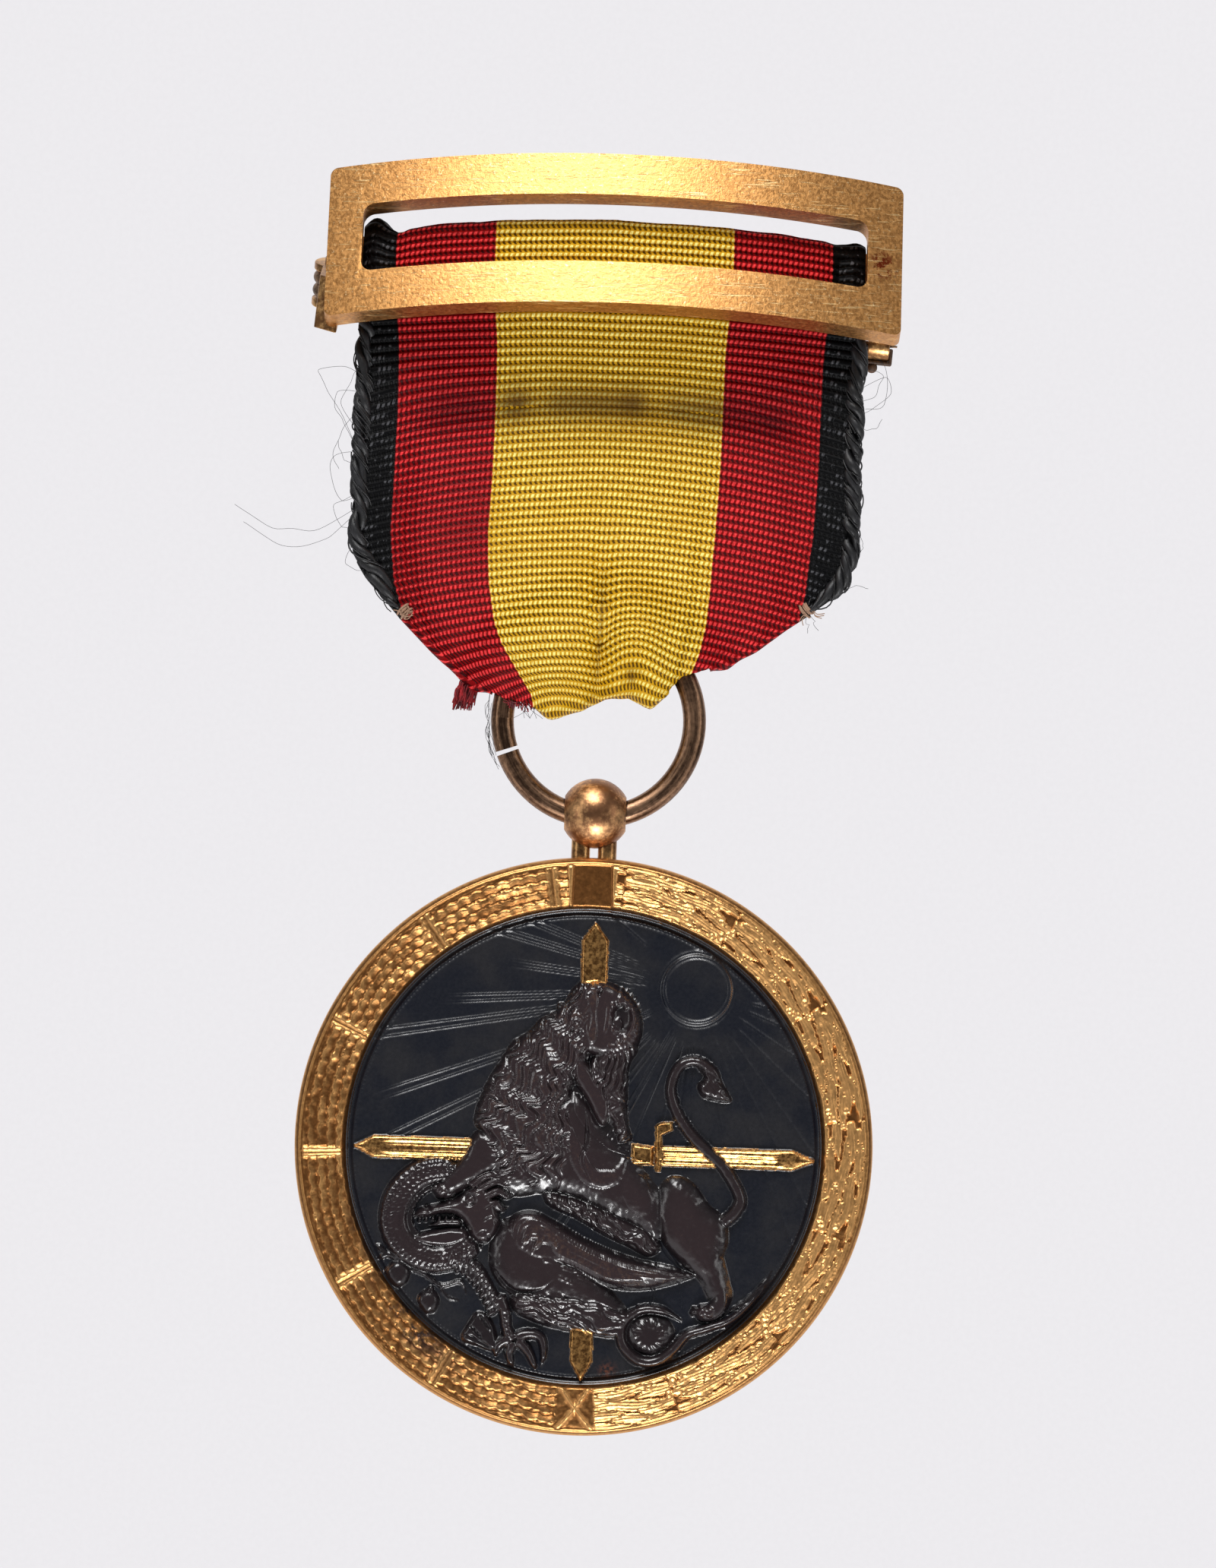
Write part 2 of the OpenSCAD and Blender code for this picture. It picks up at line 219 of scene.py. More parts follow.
class Nodes:
    """A short way to write one material's node tree."""

    def __init__(self, name):
        self.mat = bpy.data.materials.new(name)
        self.mat.use_nodes = True
        self.t = self.mat.node_tree
        self.bsdf = self.t.nodes["Principled BSDF"]

    def put(self, socket, value):
        if isinstance(value, Value):
            self.t.links.new(value.socket, socket)
        elif isinstance(value, tuple) and socket.type == "RGBA":
            socket.default_value = (*value, 1)
        else:
            socket.default_value = value

    def node(self, kind, inputs, **props):
        n = self.t.nodes.new(kind)
        for k, v in props.items():
            setattr(n, k, v)
        for k, v in inputs.items():
            self.put(n.inputs[k], v)
        return n

    def new(self, kind, inputs=(), out=0, **props):
        return Value(self, self.node(kind, dict(inputs), **props).outputs[out])

    def attr(self, name):
        return self.new("ShaderNodeAttribute", out=2, attribute_name=name)

    def coords(self):
        return self.new("ShaderNodeTexCoord", out=3)

    def scaled(self, vector, scale, turn=0.0):
        """The vector stretched by scale and turned about Y by turn degrees."""
        return self.new("ShaderNodeMapping", {"Vector": vector, "Scale": scale,
                                              "Rotation": (0, math.radians(turn), 0)})

    def join(self, x, y, z):
        return self.new("ShaderNodeCombineXYZ", {0: x, 1: y, 2: z})

    def noise(self, vector, scale, detail=3, rough=0.55):
        return self.new("ShaderNodeTexNoise", {"Vector": vector, "Scale": scale, "Detail": detail,
                                               "Roughness": rough})

    def math(self, op, a, b=None, c=None, clamp=False):
        ins = {i: x for i, x in enumerate((a, b, c)) if x is not None}
        return self.new("ShaderNodeMath", ins, operation=op, use_clamp=clamp)

    def mix(self, share, a, b):
        n = self.t.nodes.new("ShaderNodeMix")
        n.data_type = "RGBA"
        for k, v in ((0, share), (6, a), (7, b)):
            self.put(n.inputs[k], v)
        return Value(self, n.outputs[2])

    def bump(self, height, strength, distance):
        return self.new("ShaderNodeBump", {"Height": height, "Strength": strength, "Distance": distance * MM})

    def done(self, **inputs):
        for k, v in inputs.items():
            self.put(self.bsdf.inputs[k.replace("_", " ")], v)
        return self.mat


def gilt_brushed():
    """Satin gilt with fine crossing scratches, a mottled grain and one rust spot."""
    n = Nodes("gilt_brushed")
    co = n.coords()
    fine = n.noise(n.scaled(co, (900, 900, 900)), 5.0, 3, 0.7)
    grain = n.noise(n.scaled(co, (700, 700, 700)), 6.0, 3, 0.65)
    lines = [n.noise(n.scaled(co, scale, turn), 1.0, 1, 0.4)
             for scale, turn in (((420, 900, 9500), -22), ((300, 900, 10500), -9), ((480, 900, 10000), 31))]
    patch = n.noise(co, 180.0, 2, 0.5)
    scratch = lines[0].fit(0.67, 0.74) + lines[1].fit(0.65, 0.72) * patch.fit(0.35, 0.6)
    scratch = n.math("ADD", scratch, lines[2].fit(0.67, 0.74) * patch.fit(0.65, 0.4), clamp=True)
    tone = n.mix(grain.fit(0.35, 0.65), (0.50, 0.235, 0.074), (0.72, 0.365, 0.124))
    tone = n.mix(scratch * 0.55, tone, (1.0, 0.74, 0.36))
    tone = n.mix(fine.fit(0.61, 0.70) * 0.6, tone, (1.0, 0.80, 0.45))
    from_rust = n.new("ShaderNodeVectorMath", {0: co, 1: (0.0171, -0.0050, 0.0035)}, 1, operation="DISTANCE")
    rust = from_rust.fit(0.0016, 0.0004) * n.noise(co, 2600.0, 3, 0.7).fit(0.47, 0.60)
    tone = n.mix(rust, tone, (0.22, 0.035, 0.012))
    h = grain * 0.9 + scratch * -0.55 + fine * 0.5
    return n.done(Base_Color=tone, Metallic=1.0, Roughness=n.math("MULTIPLY_ADD", grain, 0.30, 0.27),
                  Normal=n.bump(h, 0.85, 0.028))


def gilt_worn(name, light, dark, rough):
    """Worn gilt with a dark speckle."""
    n = Nodes(name)
    co = n.coords()
    big = n.noise(co, 420.0, 4, 0.6)
    fine = n.noise(co, 3600.0, 3, 0.7)
    wear = (big + fine * 0.6).fit(0.68, 0.98)
    return n.done(Base_Color=n.mix(wear, dark, light), Metallic=1.0, Roughness=n.math("MULTIPLY_ADD", fine,
                                                                                      0.3, rough - 0.12),
                  Normal=n.bump(fine + big, 0.35, 0.03))


def bronze_wire():
    """Dark brown drawn wire: streaks run along the ring."""
    n = Nodes("bronze_wire")
    co = n.coords()
    x, y, z = (Value(n, s) for s in n.node("ShaderNodeSeparateXYZ", {0: co}).outputs)
    dz = z - RING_Z * MM
    radius = n.math("SQRT", x * x + dz * dz)
    turn = n.math("ARCTAN2", dz, x)
    streak = n.noise(n.join(radius * 4200.0, y * 4200.0, turn * 1.6), 1.0, 4, 0.6)
    fine = n.noise(co, 4200.0, 2, 0.6)
    wear = (streak + fine * 0.35).fit(0.50, 0.86)
    return n.done(Base_Color=n.mix(wear, (0.105, 0.058, 0.036), (0.42, 0.245, 0.145)), Metallic=1.0,
                  Roughness=n.math("MULTIPLY_ADD", streak, 0.28, 0.2),
                  Normal=n.bump(streak + fine * 0.4, 0.4, 0.03))


def rim_gilt():
    """Bright gilt high spots, brown in the hollows, with black patina smeared low on one side."""
    n = Nodes("rim_gilt")
    co = n.coords()
    up = n.attr("rise")
    fine = n.noise(co, 3200.0, 3, 0.7)
    big = n.noise(co, 500.0, 3, 0.6)
    tone = n.mix((up + (fine - 0.5) * 0.5).fit(0.08, 0.80), (0.30, 0.125, 0.038), (0.88, 0.48, 0.175))
    dirt = n.attr("dirt") * (fine * 0.5 + big).fit(0.66, 0.82)
    tone = n.mix(dirt, tone, (0.035, 0.030, 0.034))
    return n.done(Base_Color=tone, Metallic=1.0, Roughness=n.math("MULTIPLY_ADD", fine, 0.30, 0.24),
                  Normal=n.bump(fine + big, 0.62, 0.034))


def dark_relief():
    """Blue-black field, violet-brown figures and gilt blades on one struck face."""
    n = Nodes("dark_relief")
    co = n.coords()
    figure, gold, up = n.attr("figure"), n.attr("gold"), n.attr("rise")
    fine = n.noise(co, 4200.0, 3, 0.65)
    big = n.noise(co, 260.0, 3, 0.6)
    field = n.mix(big.fit(0.35, 0.68), (0.0035, 0.0048, 0.0095), (0.0120, 0.0120, 0.0145))
    body = n.mix(up.fit(0.1, 1.0), (0.0075, 0.0055, 0.0065), (0.026, 0.0160, 0.0175))
    body = n.mix((up + fine * 0.9).fit(1.25, 1.6) * 0.35, body, (0.10, 0.052, 0.030))
    gilt = n.mix(fine.fit(0.36, 0.64), (0.30, 0.14, 0.045), (0.82, 0.45, 0.155))
    tone = n.mix(gold, n.mix(figure, field, body), gilt)
    tone = n.mix(n.attr("rust") * fine.fit(0.4, 0.6), tone, (0.11, 0.035, 0.018))
    rough = n.math("MULTIPLY_ADD", fine, 0.28, 0.15) - figure * 0.07
    return n.done(Base_Color=tone, Metallic=gold, Roughness=rough, IOR=1.6,
                  Normal=n.bump(fine + big * 0.5, 0.30, 0.028))


def by_stripe(n, is_red, is_black, yellow, red, black):
    """A colour for each stripe of the ribbon."""
    return n.mix(is_black, n.mix(is_red, yellow, red), black)


def woven():
    """Ribbed ribbon: slanting floats on each rib carry a painted highlight, dark slits between the yarns
    below carry painted shade, and painted shade darkens the crease, the valley and the pucker.
    """
    n = Nodes("woven_ribbon")
    co = n.coords()
    across, along, painted_shade = n.attr("across"), n.attr("along"), n.attr("painted_shade")
    turn = along / RIB * (2 * math.pi)
    c_rib, s_rib = n.math("COSINE", turn), n.math("SINE", turn)
    c_yarn = n.math("COSINE", (across / YARN + s_rib * 0.13) * (2 * math.pi))
    fibre = n.noise(n.join(across * 9.0, along * 4.0, 0.0), 1.0, 3, 0.6)
    broad = n.noise(co, 150.0, 2, 0.5)
    edge = n.math("ABSOLUTE", across) + (fibre - 0.5) * 0.16
    is_red = edge.fit(YELLOW_HW - 0.05, YELLOW_HW + 0.05)
    is_black = edge.fit(RED_HW - 0.05, RED_HW + 0.05)
    # floats: the float yarns on each rib's crown, which carry the painted highlight; on the black stripes
    # only a sparse few do
    floats = (c_rib + (broad - 0.5) * 1.1).fit(0.30, 0.95) * c_yarn.fit(-0.62, 0.20) * fibre.fit(0.22, 0.58)
    sparse = n.noise(co, 1500.0, 2, 0.6).fit(0.50, 0.62)
    floats = floats * n.math("MAXIMUM", sparse, 1.0 - is_black)
    # slits: the gaps between the yarns in each rib's lower half, which carry the painted shade
    slits = (s_rib * 0.35 - c_rib).fit(-0.60, 0.20) * c_yarn.fit(0.30, -0.50)
    body = by_stripe(n, is_red, is_black, (0.56, 0.295, 0.006), (0.190, 0.0005, 0.0016),
                     (0.0018, 0.0018, 0.0022))
    # painted highlight: a much brighter colour on the floats, in place of light caught on each rib
    crest = by_stripe(n, is_red, is_black, (1.0, 0.90, 0.27), (0.86, 0.048, 0.052), (0.085, 0.085, 0.092))
    # painted shade: a dark colour in the slits between the yarns
    gap = by_stripe(n, is_red, is_black, (0.040, 0.020, 0.003), (0.020, 0.0003, 0.0012),
                    (0.0005, 0.0005, 0.0006))
    tone = n.mix(slits * 0.9, n.mix(floats, body, crest), gap)
    # painted shade: the crease, the valley between pleats and the pucker are darkened in colour
    tone = n.mix(painted_shade, tone, n.mix(is_red, (0.105, 0.048, 0.008), (0.028, 0.0008, 0.003)))
    h = c_rib * 0.45 + floats * 0.55 - slits * 0.9 + fibre * 0.2
    return n.done(Base_Color=tone, Roughness=n.math("MULTIPLY_ADD", floats, -0.14, 0.50),
                  Normal=n.bump(h, 0.85, 0.06), Specular_IOR_Level=0.09)


def thread_mat(name, dark, light, rough, scale=2500.0):
    """Dull twisted thread."""
    n = Nodes(name)
    f = n.noise(n.scaled(n.coords(), (1, 1, 0.35)), scale, 3, 0.65)
    return n.done(Base_Color=n.mix(f.fit(0.35, 0.7), dark, light), Roughness=rough,
                  Normal=n.bump(f, 0.6, 0.05))


# ---------------------------------------------------------------- the struck face
def share_of(value, t):
    """A number, or the value at t of a list spread evenly from 0 to 1."""
    return value if np.isscalar(value) else np.interp(t, np.linspace(0, 1, len(value)), value)


class Relief:
    """Heights h at points u right and v up on the disc, built up from ridges, domes and cuts, in mm."""

    def __init__(self, u, v):
        self.u, self.v = u.ravel(), v.ravel()
        self.h = np.zeros(self.u.size)
        self.figure = np.zeros(self.u.size)
        self.gold = np.zeros(self.u.size)

    def near(self, pts, margin):
        lo, hi = pts.min(0) - margin, pts.max(0) + margin
        return np.nonzero((self.u > lo[0]) & (self.u < hi[0]) & (self.v > lo[1]) & (self.v < hi[1]))[0]

    def along(self, k, pts):
        """Distance to a polyline and the share of its length at the nearest point."""
        u, v = self.u[k], self.v[k]
        best, share = np.full(k.size, 1e9), np.zeros(k.size)
        seg = np.linalg.norm(np.diff(pts, axis=0), axis=1)
        total, run = seg.sum(), 0.0
        for (a, b), (c, d), s in zip(pts[:-1], pts[1:], seg):
            if s < 1e-9:
                continue
            t = np.clip(((u - a) * (c - a) + (v - b) * (d - b)) / s ** 2, 0, 1)
            dist = np.hypot(u - a - t * (c - a), v - b - t * (d - b))
            hit = dist < best
            best[hit] = dist[hit]
            share[hit] = (run + t[hit] * s) / total
            run += s
        return best, share

    def inside(self, k, pts):
        """Distance inside a closed outline, negative outside it."""
        u, v = self.u[k], self.v[k]
        closed = np.vstack([pts, pts[:1]])
        dist, _ = self.along(k, closed)
        odd = np.zeros(k.size, bool)
        for (a, b), (c, d) in zip(closed[:-1], closed[1:]):
            if b == d:
                continue
            odd ^= ((b > v) != (d > v)) & (u < (c - a) * (v - b) / (d - b) + a)
        return np.where(odd, dist, -dist)

    def within(self, pts):
        """The points inside a closed outline and their distance from it."""
        k = self.near(pts, 0.05)
        d = self.inside(k, pts)
        return k[d > 0], d[d > 0]

    def raise_to(self, k, h, figure, gold):
        """Lift points to h where that is higher, and say what they are now part of."""
        up = h > self.h[k]
        self.h[k[up]] = h[up]
        self.figure[k[up]], self.gold[k[up]] = figure, gold

    def dome(self, points, height, edge, power=2.0):
        """A pillow over a smooth outline: it rises to its height within edge of the outline."""
        k, d = self.within(curve(points, 5, True))
        self.raise_to(k, height * (1 - (1 - np.clip(d / edge, 0, 1)) ** power), 1.0, 0.0)

    def plate(self, points, height, edge):
        """A gilt piece with straight sides and rounded edges."""
        k, d = self.within(np.array(points, float))
        self.raise_to(k, height * (1 - (1 - np.clip(d / edge, 0, 1)) ** 2), 0.0, 1.0)

    def ridge(self, points, width, height, mode="max", taper=(0.2, 0.3), base=0.0, figure=1.0, per=5,
              power=0.5):
        """A rounded cord along a curve, raised, added or cut: it thins over the taper shares at its ends."""
        pts = curve(points, per) if len(points) > 2 else np.array(points, float)
        k = self.near(pts, np.max(width))
        d, t = self.along(k, pts)
        ends = smooth(t, 0, taper[0] + 1e-6) if taper[0] else 1.0
        ends = ends * (1 - smooth(t, 1 - taper[1], 1.0001) if taper[1] else 1.0)
        wide = share_of(width, t) * (0.35 + 0.65 * ends)
        bulge = np.clip(1 - (d / np.maximum(wide, 1e-6)) ** 2, 0, 1) ** power
        tall = share_of(height, t) * (0.25 + 0.75 * ends) * bulge
        if mode == "max":
            on = bulge > 0
            self.raise_to(k[on], base + tall[on], figure, 0.0)
        elif mode == "add":
            self.h[k] += tall
            if figure:
                on = k[bulge > 0]
                self.figure[on] = np.maximum(self.figure[on], figure)
        else:
            self.h[k] -= tall

    def comb(self, outline, origin, pitch, height, seed, wave, length):
        """Hair or feathers inside an outline: wavy strands fan out from an origin and break into locks."""
        r = np.random.default_rng(seed)
        k, d = self.within(curve(outline, 4, True))
        u, v = self.u[k], self.v[k]
        rho, phi = np.hypot(u - origin[0], v - origin[1]), np.arctan2(v - origin[1], u - origin[0])
        s = phi * rho.mean() + 0.45 * noise2(u, v, seed + 1, 1.3)
        s = s + wave * np.sin(rho * 2 * np.pi / 1.55 + 2.6 * noise2(u, v, seed + 2, 1.7))
        total = np.zeros(k.size)
        for width, share in ((pitch, 1.0), (pitch * 0.43, 0.38)):
            n = s / width + 1000.5
            idx = np.floor(n).astype(int)
            f = n - idx
            q = rho / (length * (0.5 + 0.5 * share)) + r.uniform(0, 1, 4096)[idx % 4096]
            g = q - np.floor(q)
            half = 0.34 + 0.16 * (1 - g)
            strand = np.clip(1 - ((f - 0.5) / half) ** 2, 0, 1) ** 0.7
            total += share * strand * (0.45 + 0.55 * smooth(g, 0.0, 0.18) * (1 - 0.75 * smooth(g, 0.45, 1.0)))
        self.h[k] += height * (total - 0.55) * smooth(d, 0, 0.35)


def strike_lion(R):
    """The lion: hindquarters, trunk, foreleg, mane, head thrown up, belly fringe and tail."""
    # hindquarters
    R.dome([(5.0, -2.2), (6.0, -1.6), (7.2, -2.1), (8.2, -3.4), (9.3, -4.3), (9.55, -5.6), (9.3, -6.8),
            (9.7, -8.2), (9.9, -9.4), (9.2, -10.3), (8.2, -9.4), (7.6, -8.3), (6.4, -7.2), (5.2, -5.9),
            (4.6, -4.2)], 0.95, 1.5)
    R.ridge([(5.2, -4.2), (6.2, -6.0), (7.7, -7.6), (8.4, -8.6)], (0.5, 0.7, 0.55, 0.4), 0.16, "add",
            (0.3, 0.3))
    R.ridge([(4.75, -2.9), (4.65, -4.6), (5.4, -6.4), (7.0, -8.1)], 0.13, 0.25, "cut", (0.2, 0.3))
    R.ridge([(8.9, -8.5), (9.1, -9.6), (8.5, -10.3), (7.4, -10.3)], (0.5, 0.55, 0.6, 0.5), 0.75,
            taper=(0.1, 0.15))
    for x in (7.3, 7.8, 8.3):
        R.ridge([(x + 0.25, -10.0), (x, -10.55)], 0.24, 0.30, "add", (0.1, 0.1), base=0.5)
    # trunk
    R.dome([(-5.6, 2.6), (-3.0, 3.4), (-0.4, 3.4), (1.1, 1.3), (2.4, 0.1), (3.3, -0.5), (4.4, -1.9),
            (5.3, -3.0), (5.5, -4.8), (4.8, -6.0), (3.4, -5.2), (1.6, -4.4), (-0.2, -3.5), (-2.2, -3.1),
            (-4.6, -3.4), (-6.0, -2.6), (-6.3, -0.5)], 0.88, 1.7)
    R.ridge([(-0.6, 3.6), (0.6, 2.0), (2.0, 0.6), (3.6, -0.6)], (0.75, 0.9, 0.8, 0.6), 0.26, "add",
            (0.2, 0.35))
    R.ridge([(-0.9, 1.2), (-0.2, -0.9), (0.7, -1.9), (2.0, -1.8), (2.7, -0.7)], (0.5, 0.55, 0.6, 0.5), 0.30,
            "add", (0.3, 0.3))
    R.ridge([(0.1, 2.2), (0.2, 0.4), (-0.1, -0.8), (0.5, -2.1)], 0.16, 0.24, "cut", (0.3, 0.3))
    R.ridge([(2.6, -1.6), (3.4, -2.6), (4.2, -4.4)], 0.9, 0.14, "add", (0.3, 0.4))
    # left foreleg set on the dragon's neck
    R.dome([(-6.8, 0.9), (-5.2, 0.0), (-5.0, -1.3), (-6.2, -2.2), (-7.7, -3.2), (-9.0, -3.7), (-9.6, -3.1),
            (-9.0, -2.2), (-7.9, -0.9)], 0.86, 0.75)
    for q in ((-9.5, -3.1), (-9.15, -3.45), (-8.7, -3.75)):
        R.ridge([(q[0] + 0.5, q[1] + 0.42), q], 0.26, 0.24, "add", (0.1, 0.1))
    # mane, built as a thick cushion and then covered with locks
    mane = [(-0.2, 10.75), (-1.1, 10.1), (-1.8, 8.9), (-3.0, 8.2), (-3.8, 7.3), (-4.8, 6.6), (-5.5, 5.5),
            (-6.3, 4.1), (-6.9, 2.6), (-7.1, 1.3), (-6.5, 0.5), (-5.9, -0.9), (-4.9, -2.5), (-3.9, -2.0),
            (-3.2, -2.9), (-2.3, -2.0), (-1.5, -2.9), (-1.0, -1.2), (-0.7, 1.0), (-0.9, 3.0), (-0.4, 4.6),
            (0.2, 5.6), (0.8, 7.5), (0.9, 10.2)]
    R.dome(mane, 1.02, 1.1)
    right = [(0.9, 6.4), (2.9, 6.9), (3.3, 6.3), (2.8, 5.3), (2.75, 4.0), (2.75, 2.6), (2.9, 1.4), (3.1, 0.6),
             (2.2, 0.2), (1.7, 1.3), (0.9, 2.4), (0.1, 3.6), (0.1, 5.2)]
    R.dome(right, 0.80, 0.7)
    R.comb(mane, (3.2, 15.5), 0.66, 0.34, 3, 0.24, 2.3)
    R.comb(right, (1.6, 13.5), 0.56, 0.28, 5, 0.16, 1.7)
    # smooth band of the throat
    R.dome([(-0.9, 5.6), (-0.1, 5.7), (0.9, 4.2), (1.7, 2.9), (1.6, 1.6), (0.9, 1.4), (0.0, 3.0),
            (-0.9, 4.4)], 1.06, 0.55)
    # head thrown up: ruff round the jaw, open mouth, nose, eye
    R.dome([(0.2, 10.7), (1.4, 10.6), (2.5, 9.9), (3.3, 8.8), (3.55, 7.6), (3.2, 6.5), (2.2, 5.8), (1.0, 5.7),
            (-0.2, 6.0), (-1.2, 6.6), (-1.6, 7.9), (-1.1, 9.4), (-0.5, 10.4)], 1.05, 0.8)
    for i in range(17):
        a = math.radians(72 - i * 10.5)
        c, s = math.cos(a), math.sin(a)
        R.ridge([(1.5 + 1.15 * c, 8.1 + 1.35 * s), (1.5 + 1.6 * c + 0.10, 8.1 + 1.85 * s - 0.08),
                 (1.5 + 2.05 * c, 8.1 + 2.45 * s)], 0.15, 0.17, "add", (0.2, 0.3), per=3)
    R.ridge([(1.75, 9.25), (2.2, 8.4), (1.9, 7.3)], (0.55, 0.75, 0.5), 0.62, "cut", (0.2, 0.25), power=0.7)
    R.ridge([(2.75, 9.3), (2.95, 8.2), (2.5, 7.1)], 0.17, 0.22, "add", (0.3, 0.3))
    R.ridge([(1.3, 9.3), (1.25, 8.2), (1.1, 7.2)], 0.15, 0.16, "add", (0.2, 0.2))
    for x, y in ((1.5, 9.35), (1.95, 9.4), (2.35, 9.15), (2.3, 7.2), (1.95, 6.95)):
        R.ridge([(x, y), (x + 0.08, y - 0.3)], 0.13, 0.24, "add", (0.1, 0.1))
    R.ridge([(1.55, 7.3), (1.9, 7.8), (2.0, 8.5)], (0.3, 0.34, 0.2), 0.26, "add", (0.3, 0.3))
    R.dome([(-0.35, 10.35), (0.55, 10.5), (0.95, 9.8), (0.85, 8.6), (0.95, 7.5), (0.75, 6.6), (0.05, 6.4),
            (-0.35, 7.2), (-0.15, 8.4), (-0.45, 9.5)], 1.34, 0.55)
    R.ridge([(-0.1, 10.2), (0.4, 10.35), (0.95, 10.15)], (0.26, 0.34, 0.26), 0.22, "add", (0.2, 0.2))
    R.ridge([(0.0, 9.75), (0.15, 9.9)], 0.15, 0.30, "cut", (0, 0))
    R.ridge([(0.65, 9.85), (0.75, 10.0)], 0.15, 0.30, "cut", (0, 0))
    R.ridge([(-1.15, 8.2), (-0.7, 8.45), (-0.3, 8.1)], 0.20, 0.30, "add", (0.2, 0.2))
    R.ridge([(-1.05, 7.55), (-0.65, 7.35), (-0.35, 7.6)], 0.42, 0.26, "cut", (0.2, 0.2))
    R.ridge([(-0.72, 7.62), (-0.66, 7.58)], 0.24, 0.34, "add", (0, 0))
    R.ridge([(-1.1, 6.9), (-0.5, 6.5), (0.2, 6.2)], 0.25, 0.20, "add", (0.2, 0.2))
    R.ridge([(-1.9, 9.2), (-1.6, 8.6), (-1.8, 8.0)], 0.34, 0.34, "add", (0.2, 0.2))
    # belly fringe
    fringe = [(-2.4, -2.9), (-0.5, -3.2), (1.6, -3.9), (3.2, -4.6), (4.6, -5.4), (5.2, -6.3), (4.4, -6.9),
              (3.0, -6.3), (1.4, -5.6), (-0.4, -4.6), (-2.2, -3.8)]
    R.dome(fringe, 0.72, 0.6)
    R.comb(fringe, (-9.0, 4.5), 0.50, 0.26, 7, 0.10, 1.3)
    # tail
    R.ridge([(8.9, -4.7), (9.7, -4.0), (10.15, -3.1), (9.75, -2.1), (8.9, -0.9), (7.9, 0.0), (6.7, 1.2),
             (5.8, 2.6), (5.45, 4.0), (5.9, 5.3), (6.9, 5.75), (8.0, 5.2), (8.9, 4.0)],
            (0.42, 0.42, 0.40, 0.40, 0.38, 0.36, 0.34, 0.30), 0.72, taper=(0.02, 0.1))
    R.dome([(7.0, 5.5), (8.0, 5.3), (8.9, 4.2), (9.4, 3.2), (8.2, 3.2), (7.4, 3.5), (7.1, 4.2), (7.5, 4.7)],
           0.66, 0.5)
    R.comb([(7.0, 5.5), (8.0, 5.3), (9.4, 3.2), (7.4, 3.4), (7.2, 4.2)], (5.2, 7.6), 0.34, 0.14, 8, 0.05, 1.4)


